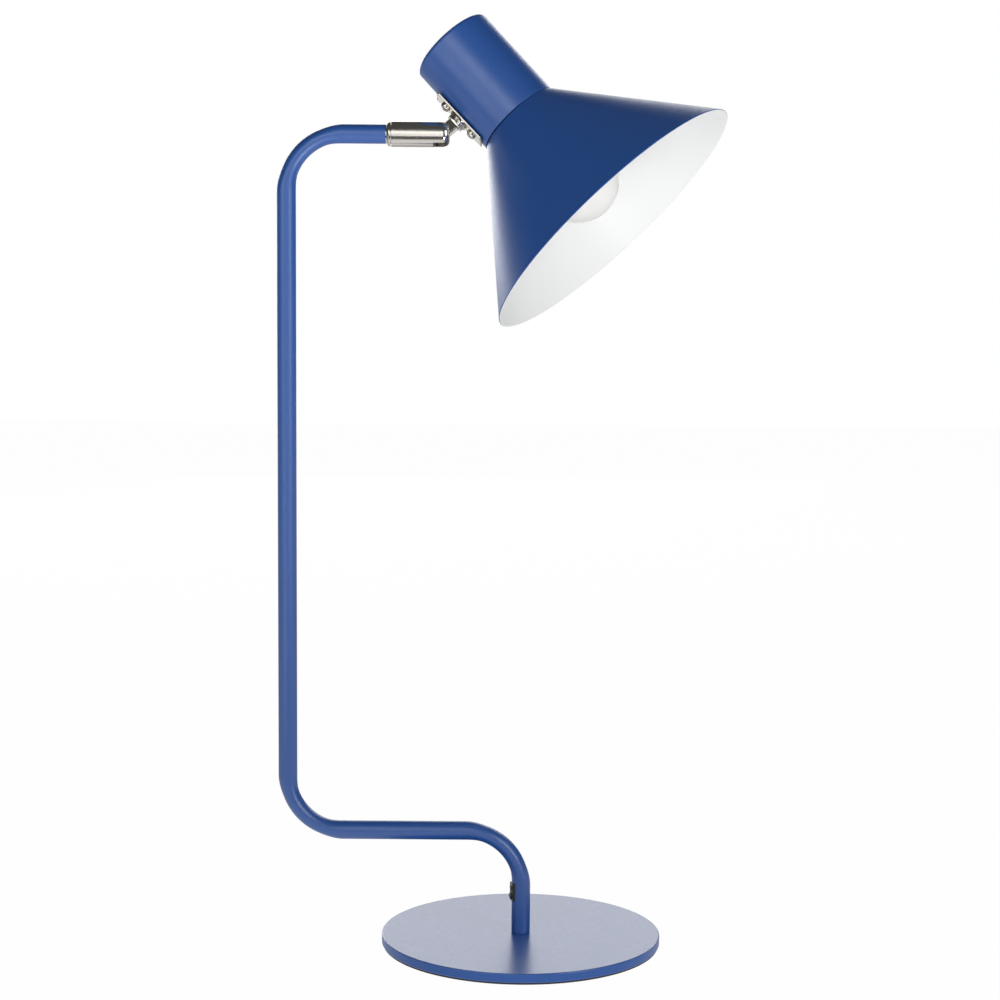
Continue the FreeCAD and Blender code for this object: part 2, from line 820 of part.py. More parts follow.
def holder_nipple():
    start = Vector(nipple_back(), 0, 0)
    length = holder_back + holder_nipple_grip - nipple_back()
    return placed(ring(holder_nipple_diameter, holder_nipple_bore, length, start, X_AXIS), axis_place)


def holder_nut():
    start = Vector(nipple_back(), 0, 0)
    nut = hexagon(holder_nut_flats, holder_nut_height, start, X_AXIS)
    hole = through_bar(holder_nipple_diameter + fit_gap * 2, holder_nut_height, start, X_AXIS)
    return placed(nut.cut(hole), axis_place)


def socket_floor():
    return shade_top - holder_floor


def holder_body():
    shoulder_back = shade_top - fit_gap - holder_shoulder_thickness
    shoulder_front = shade_top - fit_gap
    front = shade_top + holder_skirt_length
    body_radius = holder_body_diameter / 2
    nipple = holder_nipple_diameter / 2 + fit_gap
    body = turned([
        (holder_back, nipple, 0),
        (holder_back, body_radius, holder_back_round),
        (shoulder_back, body_radius, 0),
        (shoulder_back, holder_shoulder_diameter / 2, 0),
        (shoulder_front, holder_shoulder_diameter / 2, 0),
        (shoulder_front, holder_skirt_diameter / 2, 0),
        (front, holder_skirt_diameter / 2, 0),
        (front, holder_bore / 2, 0),
        (socket_floor(), holder_bore / 2, 0),
        (socket_floor(), nipple, 0),
    ])
    return placed(body, axis_place)


def holder_ring():
    start = Vector(shade_top + shade_wall + fit_gap, 0, 0)
    inner = holder_skirt_diameter + fit_gap * 2
    return placed(ring(holder_ring_diameter, inner, holder_ring_thickness, start, X_AXIS), axis_place)


def screw_shell():
    start = Vector(socket_floor() + fit_gap, 0, 0)
    outer = holder_bore - fit_gap * 2
    length = holder_floor + holder_skirt_length / 2
    return placed(ring(outer, outer - shell_thickness * 2, length, start, X_AXIS), axis_place)


def bulb_tip():
    """Back end of the bulb's centre contact."""
    return socket_floor() + contact_thickness + contact_spring_rise + fit_gap


def socket_contact():
    """Brass disc over the nipple's mouth with a raised button that the bulb's contact meets."""
    floor = socket_floor() + fit_gap
    disc_radius = holder_bore / 2 - shell_thickness - shell_gap - loose_gap
    button = contact_width / 2
    rise = floor + contact_spring_rise
    contact = turned([
        (floor, 0, 0),
        (floor, disc_radius, 0),
        (floor + contact_thickness, disc_radius, 0),
        (floor + contact_thickness, button, 0),
        (rise + contact_thickness - fit_gap, button, 0),
        (rise + contact_thickness - fit_gap, 0, 0),
    ])
    return placed(contact, axis_place)


def bulb_contact():
    start = Vector(bulb_tip(), 0, 0)
    return placed(cylinder(bulb_contact_diameter, bulb_contact_height, start, X_AXIS), axis_place)


def bulb_screw_start():
    return bulb_tip() + bulb_contact_height + bulb_insulator_height


def bulb_insulator():
    start = Vector(bulb_tip() + bulb_contact_height, 0, 0)
    cone = taper(bulb_contact_diameter, bulb_insulator_diameter, bulb_insulator_height, start, X_AXIS)
    return placed(cone, axis_place)


def bulb_screw_cap():
    """Thin metal cup over the neck of the globe."""
    start = bulb_screw_start()
    end = start + bulb_screw_length
    radius = bulb_screw_diameter / 2
    back_radius = bulb_insulator_diameter / 2
    slant = radius - back_radius
    bore = bulb_neck_diameter / 2 + fit_gap
    wall = radius - bore
    cap = turned([
        (start, 0, 0),
        (start, back_radius, 0),
        (start + slant, radius, 0),
        (end, radius, 0),
        (end, bore, 0),
        (start + slant + wall, bore, 0),
        (start + wall, back_radius - wall, 0),
        (start + wall, 0, 0),
    ])
    return placed(cap, axis_place)


def bulb_neck_start():
    """Where the glass neck begins inside the screw cap."""
    return bulb_screw_start() + bulb_screw_length / 2


def bulb_side(radius, neck_radius):
    """One face of the glass, from the neck's end to the tip: a neck, a tangent taper and the globe."""
    centre = stud_to_seam + bulb_centre
    neck_end = bulb_screw_start() + bulb_screw_length
    back = centre - neck_end
    foot_angle = math.pi - math.atan2(neck_radius, back)
    touch_angle = foot_angle - math.acos(radius / math.hypot(back, neck_radius))
    globe_centre = Vector(centre, 0, 0)
    start = Vector(bulb_neck_start(), 0, neck_radius)
    foot = Vector(neck_end, 0, neck_radius)
    touch = globe_centre + Vector(math.cos(touch_angle), 0, math.sin(touch_angle)) * radius
    middle = globe_centre + Vector(math.cos(touch_angle / 2), 0, math.sin(touch_angle / 2)) * radius
    tip = globe_centre + X_AXIS * radius
    edges = [
        Part.LineSegment(start, foot).toShape(),
        Part.LineSegment(foot, touch).toShape(),
        Part.Arc(touch, middle, tip).toShape(),
    ]
    return edges, start, tip


def bulb_globe():
    """Opal glass: a round globe on a tapering neck, hollow and closed but for the neck's end."""
    radius = bulb_diameter / 2
    neck_radius = bulb_neck_diameter / 2
    outer, outer_start, outer_tip = bulb_side(radius, neck_radius)
    inner, inner_start, inner_tip = bulb_side(radius - bulb_glass, neck_radius - bulb_glass)
    ends = [
        Part.LineSegment(outer_tip, inner_tip).toShape(),
        Part.LineSegment(inner_start, outer_start).toShape(),
    ]
    wire = Part.Wire(Part.__sortEdges__(outer + inner + ends))
    return placed(Part.Face(wire).revolve(ORIGIN, X_AXIS, FULL_TURN), axis_place)


def head_lead():
    """Lead from the stud's tail, along the cap, round behind the tab and into the nipple."""
    run = head_lead_height()
    turn_x = nipple_back() - head_lead_bend
    points = [
        Vector(0, 0, stud_end() - head_lead_first_bend),
        Vector(0, 0, run),
        Vector(turn_x, 0, run),
        Vector(turn_x, 0, stud_to_axis),
        Vector(holder_back, 0, stud_to_axis),
    ]
    bends = [head_lead_first_bend, head_lead_bend, head_lead_bend]
    return placed(swept(points, bends, head_lead_diameter), head_place)


PIECES = [
    base_plate,
    base_pad,
    foot_screw,
    foot_plug,
    stem_tube,
    cord_inlet,
    inlet_lead,
    stem_lead,
    switch_bezel,
    switch_body,
    switch_rocker,
    arm_plug,
    arm_washer,
    arm_bolt,
    thrust_washer,
    knuckle_end_cap,
    knuckle_barrel,
    hinge_pins,
    friction_shoe,
    disc_springs,
    spring_plug,
    swivel_stud,
    stud_washer,
    stud_nut,
    head_bracket,
    bracket_screws,
    head_cap,
    shade_cone,
    holder_bridge,
    holder_nipple,
    holder_nut,
    holder_body,
    holder_ring,
    screw_shell,
    socket_contact,
    head_lead,
    bulb_contact,
    bulb_insulator,
    bulb_screw_cap,
    bulb_globe,
]

os.makedirs("parts", exist_ok=True)
for make in PIECES:
    name = make.__name__
    shape = make()
    shape.exportStep("parts/" + name + ".step")
    print(name, "valid", shape.isValid(), "solids", len(shape.Solids), "volume", round(shape.Volume, 1))
print("hinge", [round(value, 3) for value in pivot])
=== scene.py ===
"""Adjustable desk lamp: the looks of a packed lamp, built piece by piece around its frame.

Sizes are in millimetres and become metres when a skin is made into a mesh. +Z is up, the middle of the
base's underside is the origin, and the lamp is seen from -Y. Each sub-assembly is a class: its fields are
its sizes, and its methods make and dress its pieces.
"""
from __future__ import annotations

import json
import logging
import math
from collections.abc import Sequence
from dataclasses import dataclass, field, replace
from enum import Enum

import bmesh
import bpy
import numpy as np
from mathutils import Matrix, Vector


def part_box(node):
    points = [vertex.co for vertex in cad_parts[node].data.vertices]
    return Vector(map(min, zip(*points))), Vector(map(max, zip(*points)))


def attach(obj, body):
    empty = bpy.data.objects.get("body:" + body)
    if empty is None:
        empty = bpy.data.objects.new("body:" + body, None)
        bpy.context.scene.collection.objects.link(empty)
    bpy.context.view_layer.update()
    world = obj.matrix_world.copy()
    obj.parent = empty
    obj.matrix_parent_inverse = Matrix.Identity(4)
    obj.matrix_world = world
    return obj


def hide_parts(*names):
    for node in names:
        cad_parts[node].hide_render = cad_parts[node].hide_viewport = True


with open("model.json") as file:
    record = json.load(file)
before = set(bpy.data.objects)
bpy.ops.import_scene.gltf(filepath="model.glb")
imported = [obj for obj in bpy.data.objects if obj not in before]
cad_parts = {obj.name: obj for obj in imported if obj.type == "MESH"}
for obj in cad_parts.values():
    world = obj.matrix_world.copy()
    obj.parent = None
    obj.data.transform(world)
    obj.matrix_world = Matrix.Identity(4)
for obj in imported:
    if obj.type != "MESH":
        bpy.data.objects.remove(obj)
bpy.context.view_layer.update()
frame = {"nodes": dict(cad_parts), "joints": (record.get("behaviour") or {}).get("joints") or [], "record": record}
SLOTS = {part["node"]: part["material_slot"] for part in frame["record"]["subparts"]}
BODIES = {node: body for body, nodes in frame["record"]["behaviour"]["bodies"].items() for node in nodes}

log = logging.getLogger("lamp")

METRES = 0.001  # metres in a millimetre
FULL_TURN = 2 * math.pi
WELD = 1e-6  # points nearer than this are one point
SHARP = math.radians(38)  # edges that turn by more stay sharp
LARGE_RING = 384  # steps round a rim, from the widest rims to the smallest
FINE_RING = 192
PLAIN_RING = 96
SMALL_RING = 48
EDGE_MIDDLE = 0.3  # how far the middle of a softened edge is drawn in, as a share of the edge
NOISE_LOW = 0.3  # nearly all of a noise's values lie between these two
NOISE_HIGH = 0.7
STEM_RISE = 42.2  # degrees between the upper arm and the stud
STUD_TO_AXIS = 42.9  # from the hinge pins to the head's axis


@dataclass(frozen=True)
class Place:
    """Where a piece's own axes lie on the lamp.

    Attributes:
        origin: The piece's own zero point on the lamp, in millimetres.
        axes: A 3 by 3 array whose columns are the piece's x, y and z directions.
    """

    origin: np.ndarray
    axes: np.ndarray

    def world(self, points: np.ndarray) -> np.ndarray:
        """Carries points (..., 3) from the piece's own axes to the lamp's: origin + axes times point."""
        return self.origin + points @ self.axes.T

    def moved(self, x: float = 0.0, z: float = 0.0) -> Place:
        """The same axes with the zero point moved along them."""
        return Place(self.world(np.array([x, 0.0, z])), self.axes)

    def turned(self, axis: str, degrees: float) -> Place:
        """The same zero point with the axes turned about one of them.

        Args:
            axis: The axis to turn about, "X", "Y" or "Z".
            degrees: The turn, right-handed.

        Returns:
            The turned place.
        """
        turn = np.array(Matrix.Rotation(math.radians(degrees), 3, axis))
        return Place(self.origin, self.axes @ turn)


LAMP = Place(np.zeros(3), np.eye(3))


def joint_place() -> Place:
    """The hinge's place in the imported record.

    Returns:
        A place at the hinge, with x along the upper arm and y along the hinge pins.
    """
    joints = {joint["name"]: joint for joint in frame["joints"]}
    along = np.array(joints["knuckle_roll"]["axis"], float)
    pins = -np.array(joints["head_tilt"]["axis"], float)
    origin = np.array(joints["head_tilt"]["pos_m"], float) / METRES
    return Place(origin, np.stack([along, pins, np.cross(along, pins)], axis=1))


def smooth(value: np.ndarray) -> np.ndarray:
    """A soft step from 0 to 1: 3 t squared minus 2 t cubed, with t held between 0 and 1."""
    held = np.clip(value, 0.0, 1.0)
    return held * held * (3.0 - 2.0 * held)


def rounded(corners: Sequence[tuple[float, float, float]], closed: bool = False, steps: int = 6,
            hold: float = 0.25) -> np.ndarray:
    """A line through corners, with each corner turned into an arc.

    An arc of radius r in a corner of half angle h starts r / tan(h) before the corner, and its points are
    the arc's centre plus r times the unit vector that turns evenly from one tangent point to the other. A
    straight stretch also has a point a little inside each end, so that flat faces stay flat beside an arc.

    Args:
        corners: The corners (a, b, radius), in order.
        closed: Whether the last corner joins the first.
        steps: Steps in each arc.
        hold: Greatest distance of the extra points from a straight stretch's ends.

    Returns:
        Points (n, 2). A closed line repeats its first point at its end.
    """
    line: list[np.ndarray] = []
    count = len(corners)
    for index, (a, b, radius) in enumerate(corners):
        here = np.array([a, b], float)
        inner = closed or 0 < index < count - 1
        if not inner or radius <= 0:
            line.append(here[None, :])
            continue
        back = np.array(corners[index - 1][:2], float) - here
        ahead = np.array(corners[(index + 1) % count][:2], float) - here
        back /= np.linalg.norm(back)
        ahead /= np.linalg.norm(ahead)
        half = math.acos(float(np.clip(back @ ahead, -1.0, 1.0))) / 2
        centre = here + (back + ahead) / np.linalg.norm(back + ahead) * radius / math.sin(half)
        start = here + back * radius / math.tan(half) - centre
        end = here + ahead * radius / math.tan(half) - centre
        share = np.linspace(0.0, 1.0, steps + 1)[:, None]
        swing = math.pi - 2 * half
        weight_start = np.sin((1 - share) * swing) / math.sin(swing)
        weight_end = np.sin(share * swing) / math.sin(swing)
        line.append(centre + start * weight_start + end * weight_end)
    if closed:
        line.append(line[0][:1])
    held: list[np.ndarray] = [line[0]]
    for before, after in zip(line, line[1:]):
        gap = after[0] - before[-1]
        length = float(np.linalg.norm(gap))
        reach = min(hold, length / 3) / length if length > WELD else 0.0
        if reach > 0:
            held.append(before[-1] + gap * np.array([[reach], [1 - reach]]))
        held.append(after)
    return np.concatenate(held)


def full_circle(segments: int) -> np.ndarray:
    """Angles spaced evenly round a circle, without a repeat at the end."""
    return np.arange(segments) * FULL_TURN / segments


def rings(along: np.ndarray, radius: np.ndarray, turn: np.ndarray) -> np.ndarray:
    """Rings about the x axis, with each point at (a, r cos t, r sin t).

    Args:
        along: The distance a of each ring along the axis (n,).
        radius: The radius r of each ring (n,), or of each of its points (n, m).
        turn: The angle t of each point of a ring (m,).

    Returns:
        A grid (n, m, 3).
    """
    radius = radius.reshape(len(along), -1)
    y = radius * np.cos(turn)
    z = radius * np.sin(turn)
    return np.stack([np.broadcast_to(along[:, None], y.shape), y, z], axis=-1)


def lathe(profile: np.ndarray, segments: int, upright: bool = False) -> np.ndarray:
    """A profile turned about the x axis, or about the z axis where it stands upright.

    Args:
        profile: Points (n, 2): the distance along the axis and the radius.
        segments: Steps round the circle.
        upright: Whether the axis is z.

    Returns:
        A grid (n, segments, 3).
    """
    grid = rings(profile[:, 0], profile[:, 1], full_circle(segments))
    return grid[..., [1, 2, 0]] if upright else grid


def oblong(half_x: float, half_y: float, radius: float) -> np.ndarray:
    """A rectangle with rounded corners about the origin, as points (n, 2) without a repeat at the end."""
    corners = [(half_x, -half_y), (half_x, half_y), (-half_x, half_y), (-half_x, -half_y)]
    return rounded([(x, y, radius) for x, y in corners], closed=True)[:-1]


class Skin:
    """The skin of one piece, gathered from grids of points."""

    def __init__(self) -> None:
        """Starts with no points."""
        self.points: list[np.ndarray] = []
        self.faces: list[list[int]] = []
        self.finishes: list[int] = []
        self.count = 0

    def grid(self, grid: np.ndarray, finish: int | np.ndarray = 0) -> Skin:
        """Adds a grid as quads between neighbouring rows, each of which closes on itself.

        Args:
            grid: Points (rows, columns, 3).
            finish: The finish's number, or one number for each band between two rows.

        Returns:
            The skin itself.
        """
        rows, columns = grid.shape[:2]
        index = np.arange(rows * columns).reshape(rows, columns) + self.count
        index = np.concatenate([index, index[:, :1]], axis=1)
        corners = [index[:-1, :-1], index[:-1, 1:], index[1:, 1:], index[1:, :-1]]
        quads = np.stack(corners, axis=-1)
        bands = np.broadcast_to(np.asarray(finish).reshape(-1, 1), quads.shape[:2])
        self.points.append(grid.reshape(-1, 3))
        self.faces += quads.reshape(-1, 4).tolist()
        self.finishes += bands.reshape(-1).tolist()
        self.count += rows * columns
        return self

    def cap(self, ring: np.ndarray, finish: int = 0) -> Skin:
        """Adds one flat face.

        Args:
            ring: The face's corners in order (n, 3).
            finish: The finish's number.

        Returns:
            The skin itself.
        """
        self.points.append(ring)
        self.faces.append(list(range(self.count, self.count + len(ring))))
        self.finishes.append(finish)
        self.count += len(ring)
        return self

    def piece(self, name: str, place: Place, finishes: Sequence[bpy.types.Material],
              sharp: float = SHARP) -> bpy.types.Object:
        """Makes the mesh, with its seams welded and its faces outward.

        Args:
            name: The object's name.
            place: Where the points lie on the lamp.
            finishes: The materials that the finish numbers stand for.
            sharp: Edges that turn by more than this angle stay sharp.

        Returns:
            The new object, at the origin.
        """
        mesh = bpy.data.meshes.new(name)
        points = place.world(np.concatenate(self.points)) * METRES
        mesh.from_pydata(points.tolist(), [], self.faces)
        mesh.polygons.foreach_set("material_index", self.finishes)
        net = bmesh.new()
        net.from_mesh(mesh)
        bmesh.ops.remove_doubles(net, verts=net.verts, dist=WELD)
        bmesh.ops.recalc_face_normals(net, faces=net.faces)
        net.to_mesh(mesh)
        net.free()
        for material in finishes:
            mesh.materials.append(material)
        mesh.shade_smooth()
        mesh.set_sharp_from_angle(angle=sharp)
        made = bpy.data.objects.new(name, mesh)
        bpy.context.scene.collection.objects.link(made)
        return made


class Marks(Enum):
    """Which way a metal's fine tool marks run."""

    TURNED_ALONG_ARM = (9.0, 0.15, 0.15)
    EVEN = (1.0, 1.0, 1.0)


class Bench:
    """A node tree under way."""

    def __init__(self, tree: bpy.types.NodeTree) -> None:
        """Takes up the tree."""
        self.tree = tree

    def node(self, kind: str, inputs: dict[str | int, object], **settings: object) -> bpy.types.Node:
        """Adds a node.

        Args:
            kind: The node's type.
            inputs: Its sockets, each with a value or with another node's output.
            settings: Its other properties.

        Returns:
            The new node.
        """
        made = self.tree.nodes.new(kind)
        for key, value in settings.items():
            setattr(made, key, value)
        for socket, value in inputs.items():
            if isinstance(value, bpy.types.NodeSocket):
                self.tree.links.new(value, made.inputs[socket])
            else:
                made.inputs[socket].default_value = value
        return made

    def number(self, operation: str, first: object, second: object) -> bpy.types.NodeSocket:
        """One sum on two numbers, each a value or another node's output."""
        return self.node("ShaderNodeMath", {0: first, 1: second}, operation=operation).outputs[0]

    def choice(self, share: object, low: object, high: object) -> bpy.types.NodeSocket:
        """Goes from one number to another as a share goes from 0 to 1."""
        return self.node("ShaderNodeMix", {"Factor": share, "A": low, "B": high}).outputs["Result"]

    def step(self, value: bpy.types.NodeSocket, start: float, end: float) -> bpy.types.NodeSocket:
        """A soft step of a value, from 0 at its start to 1 at its end."""
        inputs = {"Value": value, "From Min": start, "From Max": end}
        return self.node("ShaderNodeMapRange", inputs, interpolation_type="SMOOTHSTEP").outputs["Result"]


class Recipe(Bench):
    """A material under way: one principled shader, and the textures that vary its sockets."""

    def __init__(self, name: str, constants: dict[str, object]) -> None:
        """Makes the material and sets the sockets that are the same all over.

        Args:
            name: The material's name.
            constants: The shader's sockets and their values.
        """
        self.material = bpy.data.materials.new(name)
        self.material.use_nodes = True
        super().__init__(self.material.node_tree)
        self.shader = self.tree.nodes["Principled BSDF"]
        for socket, value in constants.items():
            self.shader.inputs[socket].default_value = value
        self.spot = self.tree.nodes.new("ShaderNodeTexCoord").outputs["Object"]

    def noise(self, size: float, detail: float,
              stretch: tuple[float, float, float] = (1.0, 1.0, 1.0)) -> bpy.types.NodeSocket:
        """Cloudy noise between 0 and 1.

        Args:
            size: The size of a cloud in millimetres.
            detail: How many finer layers it has.
            stretch: How much finer the noise is along each axis.

        Returns:
            The noise's value.
        """
        spot = self.node("ShaderNodeMapping", {"Vector": self.spot, "Scale": stretch}).outputs["Vector"]
        scale = 1.0 / (size * METRES)
        made = self.node("ShaderNodeTexNoise", {"Vector": spot, "Scale": scale, "Detail": detail})
        return made.outputs["Fac"]

    def span(self, value: bpy.types.NodeSocket, low: float, high: float) -> bpy.types.NodeSocket:
        """Carries a noise's usual values to the span from low to high."""
        ends = {"From Min": NOISE_LOW, "From Max": NOISE_HIGH, "To Min": low, "To Max": high}
        return self.node("ShaderNodeMapRange", {"Value": value, **ends}).outputs["Result"]

    def blend(self, value: bpy.types.NodeSocket, low: tuple[float, ...],
              high: tuple[float, ...]) -> bpy.types.NodeSocket:
        """Mixes two colours by a value."""
        # sockets 6 and 7 are the node's two colours, and output 2 is its mixed colour
        colours = {6: (*low, 1.0), 7: (*high, 1.0)}
        return self.node("ShaderNodeMix", {"Factor": value, **colours}, data_type="RGBA").outputs[2]

    def wire(self, output: bpy.types.NodeSocket, socket: str) -> None:
        """Joins an output to one of the shader's sockets."""
        self.tree.links.new(output, self.shader.inputs[socket])

    def relief(self, layers: Sequence[tuple[bpy.types.NodeSocket, float]], strength: float) -> None:
        """Roughens the surface with heights one over another.

        Args:
            layers: Pairs of a height and its greatest depth in millimetres.
            strength: How much of the relief shows, 0 to 1.
        """
        normal = None
        for height, depth in layers:
            inputs: dict[str | int, object] = {"Height": height, "Distance": depth * METRES}
            inputs["Strength"] = strength
            if normal is not None:
                inputs["Normal"] = normal
            normal = self.node("ShaderNodeBump", inputs).outputs["Normal"]
        self.wire(normal, "Normal")


@dataclass(frozen=True)
class Finish:
    """A finish whose colour wanders between two shades, and its gloss between two values."""

    name: str
    colour: tuple[float, float, float]
    shade: tuple[float, float, float]
    rough: tuple[float, float]

    def mottle(self, recipe: Recipe, clouds: bpy.types.NodeSocket, gloss: bpy.types.NodeSocket) -> None:
        """Wires the colour and the gloss.

        Args:
            recipe: The material under way.
            clouds: The noise that the colour follows.
            gloss: The noise that the gloss follows.
        """
        colour = recipe.blend(recipe.span(clouds, 0.0, 1.0), self.colour, self.shade)
        recipe.wire(colour, "Base Color")
        recipe.wire(recipe.span(gloss, *self.rough), "Roughness")

    def material(self) -> bpy.types.Material:
        """The finish as a material, which each kind of finish makes in its own way."""
        raise NotImplementedError


@dataclass(frozen=True)
class Paint(Finish):
    """Powder coat: an even colour with a faint orange peel and a fine grain."""

    ior: float = 1.5
    cloud_size: float = 60.0
    gloss_size: float = 2.7
    peel_size: float = 0.9
    peel_depth: float = 0.006
    grain_size: float = 0.16
    grain_depth: float = 0.0012
    strength: float = 0.5

    def material(self) -> bpy.types.Material:
        """Makes the paint: clouds vary the colour and gloss, peel and grain make the relief.

        Returns:
            The new material.
        """
        recipe = Recipe(self.name, {"IOR": self.ior})
        gloss = recipe.noise(self.gloss_size, detail=4.0)
        self.mottle(recipe, recipe.noise(self.cloud_size, detail=3.0), gloss)
        peel = recipe.noise(self.peel_size, detail=2.0)
        grain = recipe.noise(self.grain_size, detail=1.0)
        recipe.relief([(peel, self.peel_depth), (grain, self.grain_depth)], self.strength)
        return recipe.material


@dataclass(frozen=True)
class Metal(Finish):
    """Plain or plated metal with fine tool marks."""

    marks: Marks = Marks.EVEN
    mark_size: float = 0.25
    mark_depth: float = 0.002
    stain_size: float = 4.0
    wave_share: float = 4.0
    strength: float = 0.4

    def material(self) -> bpy.types.Material:
        """Makes the metal: stains vary the colour, and stretched noise makes the tool marks.

        Returns:
            The new material.
        """
        recipe = Recipe(self.name, {"Metallic": 1.0})
        marks = recipe.noise(self.mark_size, detail=2.0, stretch=self.marks.value)
        self.mottle(recipe, recipe.noise(self.stain_size, detail=4.0), marks)
        waves = recipe.noise(self.stain_size, detail=3.0)
        recipe.relief([(marks, self.mark_depth), (waves, self.mark_depth * self.wave_share)], self.strength)
        return recipe.material


@dataclass(frozen=True)
class Moulding(Finish):
    """Moulded plastic, rubber, glass paste or cable cover with a fine grain."""

    grain_size: float
    grain_depth: float
    cloud_size: float = 9.0
    gloss_size: float = 2.0
    ior: float = 1.47
    strength: float = 0.6

    def material(self) -> bpy.types.Material:
        """Makes the moulding: a cloudy colour, a mottled gloss and a grain.

        Returns:
            The new material.
        """
        recipe = Recipe(self.name, {"IOR": self.ior})
        gloss = recipe.noise(self.gloss_size, detail=4.0)
        self.mottle(recipe, recipe.noise(self.cloud_size, detail=3.0), gloss)
        recipe.relief([(recipe.noise(self.grain_size, detail=2.0), self.grain_depth)], self.strength)
        return recipe.material


@dataclass(frozen=True)
class Opal(Finish):
    """White coated glass: milky under a clear gloss."""

    cloud_size: float = 25.0
    gloss_size: float = 6.0
    ripple_size: float = 12.0
    ripple_depth: float = 0.01
    strength: float = 0.4
    ior: float = 1.5
    milk_share: float = 0.35
    milk_depth: float = 3.0
    milk_tint: tuple[float, float, float] = (1.0, 0.95, 0.85)

    def material(self) -> bpy.types.Material:
        """Makes the glass: light sinks in a little, under a smooth skin with a faint ripple.

        Returns:
            The new material.
        """
        recipe = Recipe(self.name, {
            "IOR": self.ior,
            "Subsurface Weight": self.milk_share,
            "Subsurface Radius": self.milk_tint,
            "Subsurface Scale": self.milk_depth * METRES,
        })
        gloss = recipe.noise(self.gloss_size, detail=3.0)
        self.mottle(recipe, recipe.noise(self.cloud_size, detail=2.0), gloss)
        recipe.relief([(recipe.noise(self.ripple_size, detail=1.0), self.ripple_depth)], self.strength)
        return recipe.material


BLUE = Paint("blue_powder_coat", (0.0165, 0.091, 0.355), (0.0155, 0.088, 0.345), (0.36, 0.42), ior=1.75)
PLATE_BLUE = replace(BLUE, name="blue_plate_coat", rough=(0.28, 0.33), peel_depth=0.002, grain_depth=0.0003)
EDGE_BLUE = replace(BLUE, name="blue_edge_coat", ior=1.5)
WHITE = Paint("white_enamel", (0.865, 0.87, 0.87), (0.845, 0.85, 0.85), (0.3, 0.36), grain_depth=0.0008)
PLATE_NICKEL = Metal(
    "pressed_nickel", (0.72, 0.69, 0.635), (0.67, 0.64, 0.58), (0.07, 0.12), mark_depth=0.0006,
)
# dark nickel for the stud's eye down in the knuckle's slot: painted shade
SHADED_SLOT_NICKEL = Metal("slot_shade_nickel", (0.2, 0.19, 0.175), (0.13, 0.125, 0.115), (0.22, 0.34))
# darker copy of the plate's nickel for its rim: painted shade that tones down the rim's highlight
SHADED_EDGE_NICKEL = Metal("shaded_edge_nickel", (0.5, 0.48, 0.44), (0.4, 0.38, 0.35), (0.18, 0.3))
SCREW_NICKEL = Metal("screw_nickel", (0.68, 0.65, 0.6), (0.6, 0.57, 0.52), (0.16, 0.26))
FINISHES: dict[str, Finish] = {
    "blue_steel": BLUE,
    "bright_nickel": Metal(
        "satin_nickel", (0.73, 0.7, 0.65), (0.69, 0.655, 0.6), (0.14, 0.22), Marks.TURNED_ALONG_ARM,
    ),
    "plain_steel": Metal("zinc_plate", (0.55, 0.56, 0.57), (0.48, 0.49, 0.5), (0.25, 0.4)),
    "spring_steel": Metal("oiled_spring", (0.36, 0.36, 0.37), (0.28, 0.27, 0.27), (0.22, 0.35)),
    "brass": Metal("plain_brass", (0.8, 0.6, 0.28), (0.7, 0.5, 0.22), (0.22, 0.36)),
    "shoe_nylon": Moulding("white_nylon", (0.78, 0.76, 0.7), (0.72, 0.7, 0.64), (0.35, 0.45), 0.5, 0.01),
    "black_plastic": Moulding(
        "black_moulding", (0.012, 0.013, 0.014), (0.02, 0.02, 0.022), (0.28, 0.4), 0.35, 0.004,
    ),
    "holder_plastic": Moulding(
        "black_resin", (0.018, 0.018, 0.019), (0.026, 0.026, 0.027), (0.32, 0.45), 0.6, 0.006,
    ),
    "pad_rubber": Moulding("foam_pad", (0.028, 0.026, 0.027), (0.04, 0.037, 0.038), (0.75, 0.9), 0.5, 0.04),
    "lead_cover": Moulding(
        "lead_cover", (0.03, 0.03, 0.033), (0.045, 0.045, 0.048), (0.45, 0.6), 0.8, 0.01,
    ),
    "opal_glass": Opal("opal_glass", (0.85, 0.845, 0.835), (0.83, 0.825, 0.815), (0.16, 0.22)),
    "bulb_metal": Metal("bulb_aluminium", (0.7, 0.71, 0.72), (0.62, 0.63, 0.64), (0.22, 0.34)),
    "bulb_vitrite": Moulding(
        "black_vitrite", (0.012, 0.012, 0.016), (0.02, 0.02, 0.024), (0.1, 0.18), 1.5, 0.01,
    ),
}


class Workshop:
    """Keeps each finish's material, so that pieces of one finish share it."""

    def __init__(self) -> None:
        """Starts with no materials."""
        self.made: dict[str, bpy.types.Material] = {}

    def material(self, finish: Finish) -> bpy.types.Material:
        """Finds a finish's material, or makes it when it is first asked for.

        Args:
            finish: The finish.

        Returns:
            Its material.
        """
        if finish.name not in self.made:
            self.made[finish.name] = finish.material()
        return self.made[finish.name]

    def dress_frame(self) -> None:
        """Gives every CAD node the finish of its slot in the record."""
        for node, slot in SLOTS.items():
            for spot in frame["nodes"][node].material_slots:
                spot.material = self.material(FINISHES[slot])


